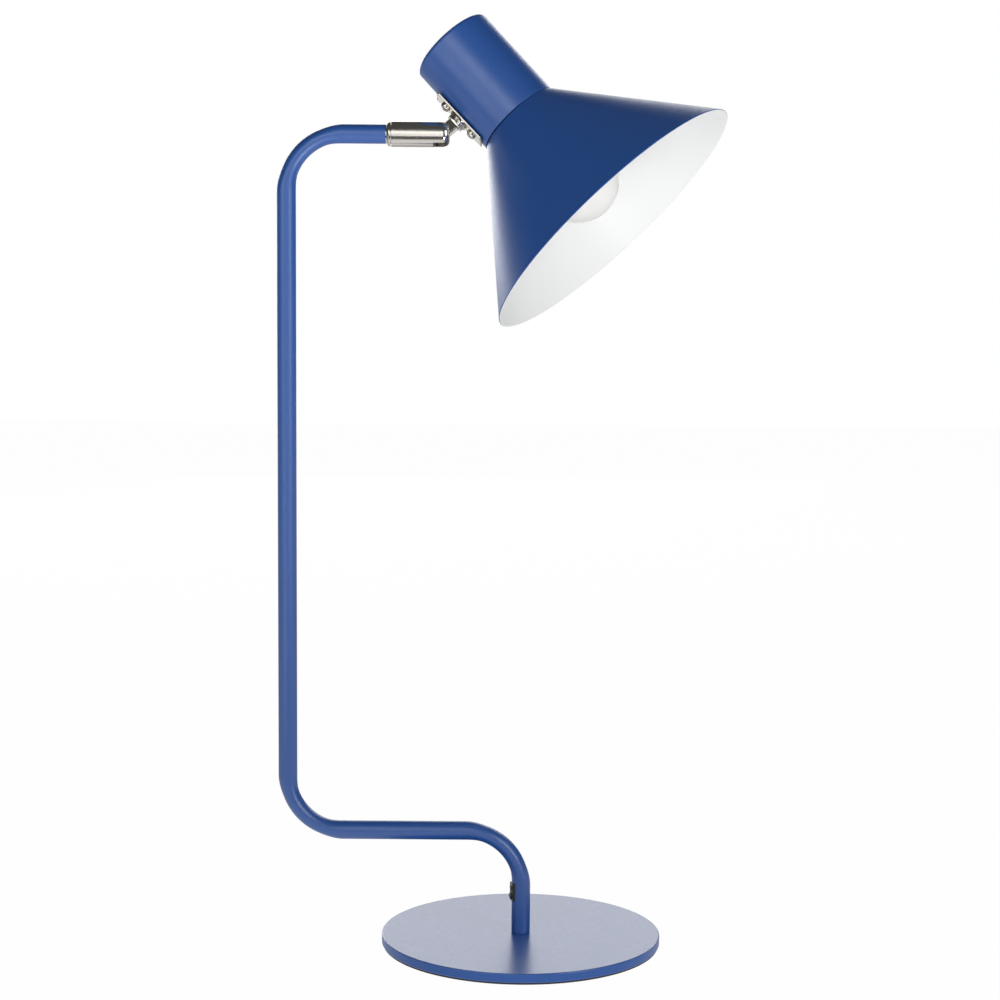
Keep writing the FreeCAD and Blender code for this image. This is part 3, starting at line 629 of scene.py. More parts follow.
@dataclass
class Assembly:
    """A sub-assembly of the lamp: where it lies, and the workshop that dresses it."""

    shop: Workshop
    place: Place = LAMP

    def fit(self, skin: Skin, name: str, node: str, finishes: Sequence[Finish] = (),
            place: Place | None = None, sharp: float = SHARP) -> None:
        """Makes a skin's mesh and puts it in a node's stead: on its body and in its slot, the node hidden.

        Args:
            skin: The skin.
            name: The new piece's name.
            node: The node that it replaces.
            finishes: What the skin's finish numbers stand for, where that isn't the slot's finish.
            place: Where the skin lies on the lamp, where it isn't the sub-assembly's own place.
            sharp: Edges that turn by more than this angle stay sharp.
        """
        body = BODIES[node]
        slot = SLOTS[node]
        materials = [self.shop.material(finish) for finish in finishes or [FINISHES[slot]]]
        piece = skin.piece(name, place or self.place, materials, sharp)
        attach(piece, body)
        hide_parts(node)
        log.info("%s stands for %s on %s: %d faces", piece.name, node, body, len(piece.data.polygons))

    def build(self) -> None:
        """Builds the sub-assembly's pieces, which each sub-assembly does in its own way."""
        raise NotImplementedError


@dataclass
class Base(Assembly):
    """The round plate that the lamp stands on, and the pad under it."""

    pad_thickness: float = 1.2
    pad_inset: float = 0.8
    pad_edge: float = 0.3
    edge_round: float = 0.7
    hole_radius: float = 3.3
    sink_radius: float = 5.55

    def plate(self) -> None:
        """Builds the plate: a profile turned about the upright axis, with a countersunk hole."""
        low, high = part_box("base_plate")
        radius = high.x / METRES
        bottom = low.z / METRES
        top = high.z / METRES
        sink_top = bottom + self.sink_radius - self.hole_radius
        profile = rounded([
            (top, self.hole_radius, 0.0),
            (top, radius, self.edge_round),
            (bottom, radius, self.edge_round),
            (bottom, self.sink_radius, 0.0),
            (sink_top, self.hole_radius, 0.0),
        ], closed=True, steps=8)
        at_rim = profile[:, 1] > radius - WELD
        edge = (at_rim[:-1] & at_rim[1:]).astype(int)
        skin = Skin().grid(lathe(profile, LARGE_RING, upright=True), finish=edge)
        self.fit(skin, "round_base", "base_plate", [PLATE_BLUE, EDGE_BLUE])

    def pad(self) -> None:
        """Builds the pad: a thin disc with soft edges, drawn in from the plate's edge."""
        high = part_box("base_plate")[1]
        radius = high.x / METRES - self.pad_inset
        profile = rounded([
            (self.pad_thickness, 0.0, 0.0),
            (self.pad_thickness, radius, self.pad_edge),
            (0.0, radius, self.pad_edge),
            (0.0, 0.0, 0.0),
        ], steps=4)
        self.fit(Skin().grid(lathe(profile, FINE_RING, upright=True)), "foam_foot", "base_pad")

    def build(self) -> None:
        """Builds the plate and the pad."""
        self.plate()
        self.pad()


@dataclass
class Tube(Assembly):
    """The bent tube: foot, lower arm, upright and upper arm in one plane, a little flat in its bends."""

    diameter: float = 12.0
    wall: float = 1.2
    bend_radius: float = 36.0
    foot_straight: float = 31.3
    lower_arm_straight: float = 78.8
    upright_straight: float = 374.0
    upper_arm_straight: float = 26.3
    flat_share: float = 0.13
    spread_share: float = 0.05
    flat_ramp: float = 4.0
    lip_round: float = 0.3
    step: float = 3.0
    fewest_steps: int = 4
    bend_steps: int = 40
    around: int = 72

    def line(self) -> tuple[np.ndarray, np.ndarray, np.ndarray]:
        """The tube's centre line, worked out run by run.

        A straight run is its start plus the distance times the heading. A bend of radius r that turns by t
        is its centre plus r times the unit vector from the centre, turned by t. A bend's depth rises from 0
        to 1 and falls again, by soft steps of the ramp times the share of the bend from either end.

        Returns:
            The points (n, 2) in X and Z, the headings (n,) as angles from X, and how deep each point lies
            in a bend (n,), from 0 on the straights to 1 in a bend's middle.
        """
        here = np.array([0.0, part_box("stem_tube")[0].z / METRES])
        heading = math.pi / 2
        points: list[np.ndarray] = []
        headings: list[np.ndarray] = []
        depths: list[np.ndarray] = []
        runs = [self.foot_straight, self.lower_arm_straight, self.upright_straight, self.upper_arm_straight]
        turns = [math.pi / 2, -math.pi / 2, -math.pi / 2, 0.0]
        for length, turn in zip(runs, turns):
            way = np.array([math.cos(heading), math.sin(heading)])
            steps = np.linspace(0.0, length, max(self.fewest_steps, round(length / self.step)))[:, None]
            points.append(here + steps * way)
            headings.append(np.full(len(steps), heading))
            depths.append(np.zeros(len(steps)))
            here = here + length * way
            if turn == 0.0:
                break
            side = math.copysign(1.0, turn)
            centre = here + side * self.bend_radius * np.array([-way[1], way[0]])
            share = np.linspace(0.0, 1.0, self.bend_steps + 1)[1:]
            swing = heading + turn * share
            normal = np.stack([-np.sin(swing), np.cos(swing)], axis=1)
            points.append(centre - side * self.bend_radius * normal)
            headings.append(swing)
            depths.append(smooth(self.flat_ramp * share) * smooth(self.flat_ramp * (1.0 - share)))
            heading += turn
            here = points[-1][-1]
        return np.concatenate(points), np.concatenate(headings), np.concatenate(depths)

    def sweep(self, radius: float) -> np.ndarray:
        """A ring of the given radius carried along the centre line.

        Each ring is centre + a cos t across the line in the tube's plane + b sin t square to that plane,
        where a is the radius less the flattening and b is the radius plus the spread, both by how deep in a
        bend it is.

        Args:
            radius: The ring's radius on the straights.

        Returns:
            A grid (n, around, 3).
        """
        points, headings, depths = self.line()
        turn = full_circle(self.around)
        across = (radius - self.diameter / 2 * self.flat_share * depths)[:, None] * np.cos(turn)
        square = (radius + self.diameter / 2 * self.spread_share * depths)[:, None] * np.sin(turn)
        x = points[:, :1] - np.sin(headings)[:, None] * across
        z = points[:, 1:] + np.cos(headings)[:, None] * across
        return np.stack([x, square, z], axis=-1)

    def build(self) -> None:
        """Builds the tube: its outer skin, rounded lips, and the bore."""
        outer = self.sweep(self.diameter / 2)
        lip = self.sweep(self.diameter / 2 - self.lip_round)
        bore = self.sweep(self.diameter / 2 - self.wall)[::-1]
        foot = np.array([0.0, 0.0, self.lip_round])
        mouth = np.array([-self.lip_round, 0.0, 0.0])
        body = [bore[-1:], lip[:1], outer[:1] + foot, outer[1:-1], outer[-1:] + mouth, lip[-1:], bore]
        self.fit(Skin().grid(np.concatenate(body)), "bent_tube", "stem_tube")


@dataclass
class CordInlet(Assembly):
    """The bushing at the back of the foot, where a cord would enter."""

    seat: float = 3.9
    bore_radius: float = 2.3
    edge_round: float = 0.5

    def build(self) -> None:
        """Builds the bushing: a collar turned about the y axis, with a rounded edge and an open bore."""
        low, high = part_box("cord_inlet")
        face = high.y / METRES
        radius = (high.x - low.x) / 2 / METRES
        height = (high.z + low.z) / 2 / METRES
        profile = rounded([
            (self.seat, radius, 0.0),
            (face, radius, self.edge_round),
            (face, self.bore_radius, self.edge_round / 2),
            (self.seat, self.bore_radius, 0.0),
        ], closed=True, steps=4)
        skin = Skin().grid(lathe(profile, PLAIN_RING)[..., [2, 0, 1]])
        self.fit(skin, "cord_bushing", "cord_inlet", place=self.place.moved(z=height))


@dataclass
class Switch(Assembly):
    """The rocker switch in the side of the foot."""

    tube_radius: float = 6.0
    height: float = 34.5
    turn: float = 195.0
    frame_width: float = 7.2
    frame_height: float = 12.0
    frame_stand: float = 0.5
    frame_round: float = 0.8
    frame_edge: float = 0.22
    opening_width: float = 5.0
    opening_height: float = 9.8
    opening_depth: float = 2.0
    skin_overlap: float = 0.15
    rocker_width: float = 4.7
    rocker_end: float = 4.6
    lobe_stand: float = 1.4
    waist_stand: float = 0.2
    lobe_round: float = 1.1
    pivot_inset: float = 0.9
    pivot_radius: float = 0.6
    throw: float = 12.0
    crown: float = 0.45
    crown_rows: int = 13

    def axes(self) -> Place:
        """The switch's own axes: x out of the tube, z up."""
        return self.place.moved(z=self.height).turned("Z", self.turn)

    def bezel(self) -> None:
        """Builds the frame: an oblong carried up from the tube's skin, over the rim and into the opening.

        On the tube's skin, the outline lies at the distance sqrt(r squared - y squared) from the axis.
        """
        face = self.tube_radius + self.frame_stand
        edge = self.frame_edge
        drawn = edge * EDGE_MIDDLE
        half_width = self.frame_width / 2
        half_height = self.frame_height / 2
        hole_width = self.opening_width / 2
        hole_height = self.opening_height / 2
        rings_up = [
            (half_width, half_height, self.frame_round, None),
            (half_width, half_height, self.frame_round, face - edge),
            (half_width - drawn, half_height - drawn, self.frame_round, face - drawn),
            (half_width - edge, half_height - edge, self.frame_round, face),
            (hole_width + edge / 2, hole_height + edge / 2, edge, face),
            (hole_width, hole_height, edge, face - edge / 2),
            (hole_width, hole_height, edge, face - self.opening_depth),
        ]
        rows = []
        for wide, tall, corner, reach in rings_up:
            flat = oblong(wide, tall, corner)
            on_skin = np.sqrt(self.tube_radius ** 2 - flat[:, 0] ** 2) - self.skin_overlap
            out = on_skin if reach is None else np.full(len(flat), reach)
            rows.append(np.stack([out, flat[:, 0], flat[:, 1]], axis=-1))
        skin = Skin().grid(np.stack(rows)).cap(rows[-1]).cap(rows[0])
        self.fit(skin, "switch_frame", "switch_bezel", place=self.axes())

    def rocker(self) -> None:
        """Builds the rocker: its two-lobed profile carried across, and drawn in at both sides.

        A row at the angle t, from minus to plus a quarter turn, is drawn in by c (1 - cos t) and stands
        c sin t beyond the crown's start, where c is the crown.
        """
        lobe = self.tube_radius + self.lobe_stand
        waist = self.tube_radius + self.waist_stand
        pivot = self.tube_radius - self.pivot_inset
        back = pivot - self.pivot_radius
        end = self.rocker_end
        profile = rounded([
            (back, -end, 0.0),
            (lobe, -end, self.lobe_round),
            (lobe, -end / 2, self.lobe_round),
            (waist, 0.0, self.lobe_round),
            (lobe, end / 2, self.lobe_round),
            (lobe, end, self.lobe_round),
            (back, end, 0.0),
        ], steps=5)
        swing = np.linspace(-math.pi / 2, math.pi / 2, self.crown_rows)
        inset = self.crown * (1.0 - np.cos(swing))
        across = (self.rocker_width / 2 - self.crown) * np.sign(swing) + self.crown * np.sin(swing)
        middle = np.array([back, 0.0])
        reach = profile - middle
        length = np.linalg.norm(reach, axis=1, keepdims=True)
        rows = [middle + reach * (1.0 - drawn / length) for drawn in inset]
        grid = np.stack([
            np.stack([row[:, 0], np.full(len(row), side), row[:, 1]], axis=-1)
            for row, side in zip(rows, across)
        ])
        place = self.axes().moved(x=pivot).turned("Y", -self.throw / 2).moved(x=-pivot)
        self.fit(Skin().grid(grid).cap(grid[0]).cap(grid[-1]), "switch_key", "switch_rocker", place=place)

    def build(self) -> None:
        """Builds the frame and the rocker."""
        self.bezel()
        self.rocker()


@dataclass
class Knuckle(Assembly):
    """The turned barrel at the end of the upper arm: end cap, slotted barrel and the flush hinge pins."""

    barrel_length: float = 39.2
    barrel_radius: float = 8.0
    pivot_setback: float = 4.9
    nose_round: float = 3.3
    nose_length: float = 4.3
    nose_rows: int = 13
    nose_gap: float = 0.3
    slot_half: float = 4.05
    slot_floor: float = 5.3
    fork_rows: tuple[float, ...] = (0.0, 0.4, 0.8, 2.0, 4.0)
    body_rows: tuple[float, ...] = (-12.0, -4.0, 0.0)
    rear_row: float = 0.6
    edge_break: float = 0.35
    edge_run: float = 0.8
    nose_break: float = 0.3
    cap_radius: float = 7.6
    cap_length: float = 2.5
    cap_chamfer: float = 1.2
    cap_hole: float = 3.65
    cap_break: float = 0.12
    face_break: float = 0.1
    spigot_length: float = 1.0
    seam: float = 0.3
    rear_break: float = 0.15
    bore: float = 6.2
    bore_shown: float = 1.2
    pin_radius: float = 1.7
    pin_inner: float = 2.0
    pin_proud: float = 0.03
    pin_rows: int = 7
    arc_points: int = 40
    wall_points: int = 16
    break_points: int = 3
    bridge_points: int = 15
    sharp_turn: float = 30.0

    def end_cap(self) -> None:
        """Builds the end cap: a turned disc with a chamfer, and a spigot that shows as a dark seam."""
        back = self.pivot_setback - self.barrel_length
        face = back + self.cap_length
        spigot = face + self.seam + self.spigot_length
        profile = rounded([
            (back, self.cap_hole, 0.0),
            (back, self.cap_radius - self.cap_chamfer, self.cap_break),
            (back + self.cap_chamfer, self.cap_radius, self.cap_break),
            (face, self.cap_radius, self.face_break),
            (face, self.bore - self.seam, 0.0),
            (spigot, self.bore - self.seam, 0.0),
            (spigot, self.cap_hole, 0.0),
        ], closed=True, steps=3)
        self.fit(Skin().grid(lathe(profile, PLAIN_RING)), "knuckle_cap", "knuckle_end_cap")

    def girth(self, along: np.ndarray) -> np.ndarray:
        """The barrel's radius R, less n (1 - sqrt(1 - t squared)) as t goes from 0 to 1 over the nose."""
        share = np.clip((along - self.pivot_setback) / self.nose_length + 1.0, 0.0, 1.0)
        return self.barrel_radius - self.nose_round * (1.0 - np.sqrt(1.0 - share ** 2))

    def cheek(self, along: np.ndarray, half: np.ndarray, edge: np.ndarray) -> np.ndarray:
        """One side of the fork: a segment of the barrel's round section, row by row along the barrel.

        Each row runs round the arc from one corner of the slot to the other, with y = r sin t and
        z = r cos t, and back along the slot's wall. Both corners are broken by a curve between a point on
        the arc and a point on the wall, with the corner itself as its control point.

        Args:
            along: Distance of each row along the barrel (n,).
            half: Half of the slot's width at each row (n,).
            edge: How much of the corners is broken at each row (n,).

        Returns:
            A grid (n, columns, 3), on the side of +y.
        """
        radius = self.girth(along)
        corner = np.arcsin(half / radius)
        cut = edge / radius
        share = np.linspace(0.0, 1.0, self.arc_points)
        turn = (corner + cut)[:, None] * (1 - share) + (math.pi - corner - cut)[:, None] * share
        arc = np.stack([radius[:, None] * np.sin(turn), radius[:, None] * np.cos(turn)], axis=-1)
        tall = radius * np.cos(corner)
        height = (tall - edge)[:, None] * np.linspace(-1.0, 1.0, self.wall_points)
        wall = np.stack([np.broadcast_to(half[:, None], height.shape), height], axis=-1)
        share = np.linspace(0.0, 1.0, self.break_points + 2)[1:-1, None]

        def broken(start: np.ndarray, control: np.ndarray, end: np.ndarray) -> np.ndarray:
            """The curve (1-s)^2 start + 2 s (1-s) control + s^2 end."""
            parts = (1 - share) ** 2, 2 * share * (1 - share), share ** 2
            return sum(part[None] * point[:, None] for part, point in zip(parts, (start, control, end)))

        lower = broken(arc[:, -1], np.stack([half, -tall], axis=-1), wall[:, 0])
        upper = broken(wall[:, -1], np.stack([half, tall], axis=-1), arc[:, 0])
        flat = np.concatenate([arc, lower, wall, upper], axis=1)
        return np.concatenate([np.repeat(along[:, None, None], flat.shape[1], axis=1), flat], axis=-1)

    def barrel(self) -> None:
        """Builds the barrel: a round body, and a fork with a rounded nose on both sides of the slot.

        The body is rings with y = r sin t and z = r cos t, whose points at the slot's floor are those of
        the fork's arcs and, between them, of two bridges. The floor is one face between the bridges and the
        ends of both walls.
        """
        rear = self.pivot_setback - self.barrel_length + self.cap_length + self.seam
        floor = -self.slot_floor
        nose_start = self.pivot_setback - self.nose_length
        nose = nose_start + self.nose_length * np.sin(np.linspace(0.0, math.pi / 2, self.nose_rows))
        straight = floor + np.array([*self.fork_rows, nose_start - floor - self.nose_gap])
        along = np.concatenate([straight, nose])
        edge = self.edge_break * smooth((along - floor) / self.edge_run)
        flare = self.nose_break * smooth((along - self.pivot_setback) / self.nose_break + 1.0)
        fork = self.cheek(along, self.slot_half + flare, edge)
        skin = Skin()
        for side in (1.0, -1.0):
            cheek = fork * np.array([1.0, side, side])
            skin.grid(cheek).cap(cheek[-1])
        corner = math.asin(self.slot_half / self.barrel_radius)
        arc = np.linspace(corner, math.pi - corner, self.arc_points)
        bridge = np.linspace(-corner, corner, self.bridge_points + 2)[1:-1]
        turn = np.concatenate([arc, bridge + math.pi, arc + math.pi, bridge])
        front = [floor + row for row in self.body_rows]
        run = np.array([rear, rear + self.rear_break, rear + self.rear_row, *front])
        wide = np.full(len(run), self.barrel_radius)
        wide[0] -= self.rear_break
        well = rings(np.array([rear + self.bore_shown, rear]), np.full(2, self.bore), turn)
        body = np.concatenate([well, rings(run, wide, turn)])[..., [0, 2, 1]]
        skin.grid(body).cap(body[0])
        top = body[-1][len(arc):][:len(bridge)]
        bottom = body[-1][-len(bridge):]
        wall = fork[0][self.arc_points + self.break_points:][:self.wall_points]
        far_wall = wall * np.array([1.0, -1.0, -1.0])
        skin.cap(np.concatenate([wall[::-1], bottom[::-1], far_wall[::-1], top[::-1]]))
        self.fit(skin, "slotted_barrel", "knuckle_barrel", sharp=math.radians(self.sharp_turn))

    def pins(self) -> None:
        """Builds the two hinge pins: bars whose ends follow the barrel's skin, y = sqrt(girth^2 - z^2)."""
        skin = Skin()
        share = np.linspace(0.0, 1.0, self.pin_rows)[:, None] * self.pin_radius
        turn = full_circle(SMALL_RING)
        x = share * np.cos(turn)
        z = share * np.sin(turn)
        reach = np.sqrt(self.girth(x) ** 2 - z ** 2) + self.pin_proud
        for side in (1.0, -1.0):
            end = np.stack([x, side * reach, z], axis=-1)
            root = np.stack([x[-1:], np.full_like(x[-1:], side * self.pin_inner), z[-1:]], axis=-1)
            skin.grid(np.concatenate([end, root])).cap(root[0])
        self.fit(skin, "flush_pins", "hinge_pins")

    def build(self) -> None:
        """Builds the end cap, the barrel and the pins."""
        self.end_cap()
        self.barrel()
        self.pins()


@dataclass
class Stud(Assembly):
    """The swivel stud in the knuckle's slot: a flat tongue with a round eye, a collar and a bored shank."""

    eye_radius: float = 4.7
    eye_start: float = -1.4  # radians from the eye's middle
    eye_rows: int = 14
    waist_rows: int = 8
    neck_rows: int = 10
    half_width: float = 3.7
    half_depth: float = 3.9
    corner: float = 0.8
    corner_share: float = 0.8
    row_gap: float = 0.3
    # up to this height the eye takes the dark slot nickel: painted shade in the slot
    painted_shade_top: float = 2.5
    collar_seat: float = 10.3
    collar_top: float = 11.8
    collar_radius: float = 6.1
    collar_round: float = 0.35
    shank_radius: float = 4.0
    shank_end: float = 23.7
    bore: float = 1.7
    washer_radius: float = 6.4
    washer_bore: float = 4.1
    washer_top: float = 12.5
    washer_round: float = 0.2

    def tongue(self) -> np.ndarray:
        """The tongue and its eye, section by section up the stud.

        Up to the height where the eye meets the neck, the half width at a height z is sqrt(r squared - z
        squared) with the eye's radius r, and from there on it stays the neck's.

        Returns:
            A grid (n, columns, 3) of rounded rectangles.
        """
        swing = np.linspace(self.eye_start, 0.0, self.eye_rows)
        meeting = math.sqrt(self.eye_radius ** 2 - self.half_width ** 2)
        heights = np.concatenate([
            self.eye_radius * np.sin(swing),
            np.linspace(self.row_gap, meeting, self.waist_rows),
            np.linspace(meeting + self.row_gap, self.collar_seat, self.neck_rows),
        ])
        widths = np.sqrt(self.eye_radius ** 2 - np.minimum(heights, meeting) ** 2)
        rows = []
        for height, width in zip(heights, widths):
            section = oblong(width, self.half_depth, min(self.corner, self.corner_share * width))
            rows.append(np.concatenate([section, np.full((len(section), 1), height)], axis=1))
        return np.stack(rows)

    def build(self) -> None:
        """Builds the stud, whose eye down in the slot takes a dark nickel as painted shade, and the washer above
        its collar.
        """
        tongue = self.tongue()
        shank = rounded([
            (self.collar_seat, self.bore, 0.0),
            (self.collar_seat, self.collar_radius, self.collar_round),
            (self.collar_top, self.collar_radius, self.collar_round),
            (self.collar_top, self.shank_radius, 0.0),
            (self.shank_end, self.shank_radius, self.collar_round),
            (self.shank_end, self.bore, 0.0),
        ], closed=True, steps=4)
        # the eye's rows below this height take the dark nickel: painted shade in the slot
        shaded_rows = (tongue[:-1, 0, 2] < self.painted_shade_top).astype(int)
        skin = Skin().grid(tongue, finish=shaded_rows).cap(tongue[0], 1).cap(tongue[-1])
        skin.grid(lathe(shank, PLAIN_RING, upright=True))
        self.fit(skin, "tongue_stud", "swivel_stud", [PLATE_NICKEL, SHADED_SLOT_NICKEL])
        washer = rounded([
            (self.collar_top, self.washer_bore, 0.0),
            (self.collar_top, self.washer_radius, self.washer_round),
            (self.washer_top, self.washer_radius, self.washer_round),
            (self.washer_top, self.washer_bore, 0.0),
        ], closed=True, steps=4)
        skin = Skin().grid(lathe(washer, PLAIN_RING, upright=True))
        self.fit(skin, "plain_washer", "stud_washer", [PLATE_NICKEL])


@dataclass
class Bracket(Assembly):
    """The saddle plate on the side of the cap, with its boss and two pan-head screws."""

    axis_height: float = STUD_TO_AXIS
    inner_radius: float = 27.75
    thickness: float = 1.2
    half_length: float = 20.75
    half_width: float = 7.0
    corner: float = 1.4
    edge: float = 0.3
    fills: tuple[float, ...] = (0.0, 0.25, 0.5, 0.75, 0.93)
    bend_radius: float = 90.0
    boss_radius: float = 7.0
    boss_start: float = 12.5
    boss_round: float = 0.45
    boss_sunk: float = 0.9
    screw_reach: float = 12.0
    head_radius: float = 3.4
    head_height: float = 2.3
    head_power: float = 2.6
    rim_height: float = 0.7
    shank_radius: float = 1.75
    shank_end: float = 20.1
    inner_rows: int = 25
    outer_rows: int = 12
    inner_end: float = 2.4
    outer_start: float = 2.5
    recess_half: float = 1.9
    recess_width: float = 0.5
    recess_depth: float = 1.2
    recess_edge: float = 0.16
    recess_rise: float = 0.55

    def saddle(self, flat: np.ndarray, radius: float) -> np.ndarray:
        """Lays a plan outline on a bent sheet whose middle lies at a radius r from the head's axis.

        The sheet is bent to the radius b less sharply than the cap, so its long edges stand a little off:
        z = axis height - r + b - sqrt(b squared - y squared).

        Args:
            flat: The outline's points in plan (n, 2).
            radius: The radius r.

        Returns:
            The points on the sheet (n, 3).
        """
        crest = self.axis_height - radius
        height = crest + self.bend_radius - np.sqrt(self.bend_radius ** 2 - flat[..., 1] ** 2)
        return np.concatenate([flat, height[..., None]], axis=-1)

    def outline(self, inset: float) -> np.ndarray:
        """The plate's outline in plan, drawn in by an inset."""
        return oblong(self.half_length - inset, self.half_width - inset, self.corner - inset)

    def plate(self) -> None:
        """Builds the plate and its boss: outlines on two bent sheets, closed over a softened edge, whose darker
        nickel is painted shade that tones down its highlight.
        """
        outer = self.inner_radius + self.thickness
        edge = self.edge
        drawn = edge * EDGE_MIDDLE
        fills = np.array(self.fills)[:, None, None] * self.outline(edge)
        top = [self.saddle(ring, outer) for ring in fills]
        bottom = [self.saddle(ring, self.inner_radius) for ring in fills[::-1]]
        rim = [
            self.saddle(self.outline(edge), outer),
            self.saddle(self.outline(drawn), outer - drawn),
            self.saddle(self.outline(0.0), outer - edge),
            self.saddle(self.outline(0.0), self.inner_radius + edge / 2),
            self.saddle(self.outline(edge), self.inner_radius),
        ]
        # the rim's bands take the darker nickel: painted shade on the plate's edge
        bands = [0] * len(top) + [1] * (len(rim) - 1) + [0] * len(bottom)
        skin = Skin().grid(np.stack([*top, *rim, *bottom]), finish=np.array(bands))
        boss_end = self.axis_height - self.inner_radius - self.thickness / 2 + self.boss_sunk
        boss = rounded([
            (self.boss_start, 0.0, 0.0),
            (self.boss_start, self.boss_radius, self.boss_round),
            (boss_end, self.boss_radius, 0.0),
            (boss_end, 0.0, 0.0),
        ])
        skin.grid(lathe(boss, PLAIN_RING, upright=True))
        self.fit(skin, "saddle_plate", "head_bracket", [PLATE_NICKEL, SHADED_EDGE_NICKEL])

    def recess(self, x: np.ndarray, y: np.ndarray) -> np.ndarray:
        """Depth of the cross recess: the deeper of two soft-edged bars at right angles.

        Args:
            x: Distance from the screw's middle along the plate.
            y: Distance from the screw's middle across the plate.

        Returns:
            The depth at each point, 0 outside the recess.
        """
        def bar(a: np.ndarray, b: np.ndarray) -> np.ndarray:
            """A bar along b: 1 inside, falling to 0 over the edge's width, and shallower to its ends."""
            inside = smooth((self.recess_width - np.abs(a)) / self.recess_edge + 0.5)
            length = smooth((self.recess_half - np.abs(b)) / (self.recess_edge * 2) + 0.5)
            return inside * length * (1.0 - self.recess_rise * np.abs(b) / self.recess_half)

        along = (x + y) / math.sqrt(2)
        across = (x - y) / math.sqrt(2)
        return self.recess_depth * np.maximum(bar(along, across), bar(across, along))

    def screws(self) -> None:
        """Builds both screws: a pan head as heights over a disc, less the cross recess, on a plain shank.

        At a share s of the head's radius, the dome stands above the rim by its height times
        sqrt(1 - s to the head's power).
        """
        face = self.axis_height - self.inner_radius - self.thickness
        inner = np.linspace(0.0, self.inner_end, self.inner_rows)
        outer = np.linspace(self.outer_start, self.head_radius, self.outer_rows)
        radius = np.concatenate([inner, outer])[:, None]
        turn = full_circle(PLAIN_RING)
        x = radius * np.cos(turn)
        y = radius * np.sin(turn)
        share = radius / self.head_radius
        round_off = np.sqrt(np.maximum(0.0, 1.0 - share ** self.head_power))
        dome = self.rim_height + (self.head_height - self.rim_height) * round_off
        head = np.stack([x, y, face - (dome - self.recess(x, y))], axis=-1)
        flat = np.array([1.0, 1.0, 0.0])
        rim = head[-1:] * flat + np.array([0.0, 0.0, face])
        neck = rim * np.array([self.shank_radius / self.head_radius] * 2 + [1.0])
        tip = neck * flat + np.array([0.0, 0.0, self.shank_end])
        screw = np.concatenate([head, rim, neck, tip])
        skin = Skin()
        for side in (-1.0, 1.0):
            grid = screw + np.array([side * self.screw_reach, 0.0, 0.0])
            skin.grid(grid).cap(grid[-1])
        self.fit(skin, "pan_screws", "bracket_screws", [SCREW_NICKEL])

    def build(self) -> None:
        """Builds the plate and the screws."""
        self.plate()
        self.screws()


@dataclass
class Shade(Assembly):
    """The cylindrical cap and the spun cone, both on the head's axis."""

    cap_radius: float = 27.45
    cap_back: float = -41.9
    cap_lean: float = 0.9
    cap_front: float = 24.6
    wall: float = 1.0
    end_dome: float = 1.0
    end_round: float = 2.6
    rim_round: float = 0.25
    seam: float = 0.4
    cone_end: float = 112.7
    mouth_radius: float = 95.8
    flange_bore: float = 20.3
    shoulder_round: float = 0.5
    lip_round: float = 0.32

    def cap(self) -> None:
        """Builds the cap: a closed drum with a slightly domed end, open towards the cone."""
        dome = self.cap_back + self.end_dome
        inner = self.cap_radius - self.wall
        profile = rounded([
            (self.cap_back, 0.0, 0.0),
            (dome, self.cap_radius, self.end_round),
            (self.cap_front, self.cap_radius, self.rim_round),
            (self.cap_front, inner, self.rim_round),
            (dome + self.wall, inner, self.end_round - self.wall / 2),
            (self.cap_back + self.wall, 0.0, 0.0),
        ], steps=8)
        place = self.place.moved(x=self.cap_front).turned("Y", self.cap_lean).moved(x=-self.cap_front)
        self.fit(Skin().grid(lathe(profile, FINE_RING)), "drum_cap", "head_cap", place=place)

    def cone(self) -> None:
        """Builds the cone: blue outside and white inside, with a rolled lip and a flange at its top."""
        top = self.cap_front + self.seam
        slope = math.atan2(self.mouth_radius - self.cap_radius, self.cone_end - top)
        radial = self.wall / math.cos(slope)
        flange_front = top + self.wall
        flange_radius = self.cap_radius - radial + self.wall * math.tan(slope)
        profile = rounded([
            (top, self.flange_bore, 0.0),
            (top, self.cap_radius, self.shoulder_round),
            (self.cone_end, self.mouth_radius, self.lip_round),
            (self.cone_end, self.mouth_radius - radial, self.lip_round),
            (flange_front, flange_radius, self.shoulder_round),
            (flange_front, self.flange_bore, 0.0),
            (top, self.flange_bore, 0.0),
        ])
        white = (np.arange(len(profile) - 1) >= np.argmax(profile[:, 0])).astype(int)
        skin = Skin().grid(lathe(profile, LARGE_RING), finish=white)
        self.fit(skin, "spun_shade", "shade_cone", [BLUE, WHITE])

    def build(self) -> None:
        """Builds the cap and the cone."""
        self.cap()
        self.cone()


@dataclass
class HolderRing(Assembly):
    """The threaded ring that clamps the shade on the lampholder, ribbed for the fingers."""

    start: float = 26.05
    thickness: float = 6.0
    radius: float = 23.0
    bore: float = 19.85
    bore_round: float = 0.3
    edge_round: float = 0.5
    ribs: int = 40
    rib_steps: int = 12
    rib_depth: float = 0.55
    rib_start: float = 0.65
    rib_ramp: float = 4.0

    def build(self) -> None:
        """Builds the ring: its rim's radius is R - d (1 - cos(n t)) / 2, with n ribs of depth d.

        The ribs fade in over the face, by a soft step of the ramp times the distance past their start.
        """
        end = self.start + self.thickness
        profile = rounded([
            (self.start, self.bore, 0.0),
            (self.start, self.radius, self.edge_round),
            (end, self.radius, self.edge_round),
            (end, self.bore, self.bore_round),
        ], closed=True, steps=5)
        segments = self.ribs * self.rib_steps
        grid = lathe(profile, segments)
        outward = (profile[:, 1] - self.bore) / (self.radius - self.bore)
        share = smooth((outward - self.rib_start) * self.rib_ramp)[:, None]
        wave = 0.5 - 0.5 * np.cos(self.ribs * full_circle(segments))
        drawn = 1.0 - share * self.rib_depth * wave / self.radius
        grid[..., 1:] *= drawn[..., None]
        self.fit(Skin().grid(grid), "ribbed_ring", "holder_ring")


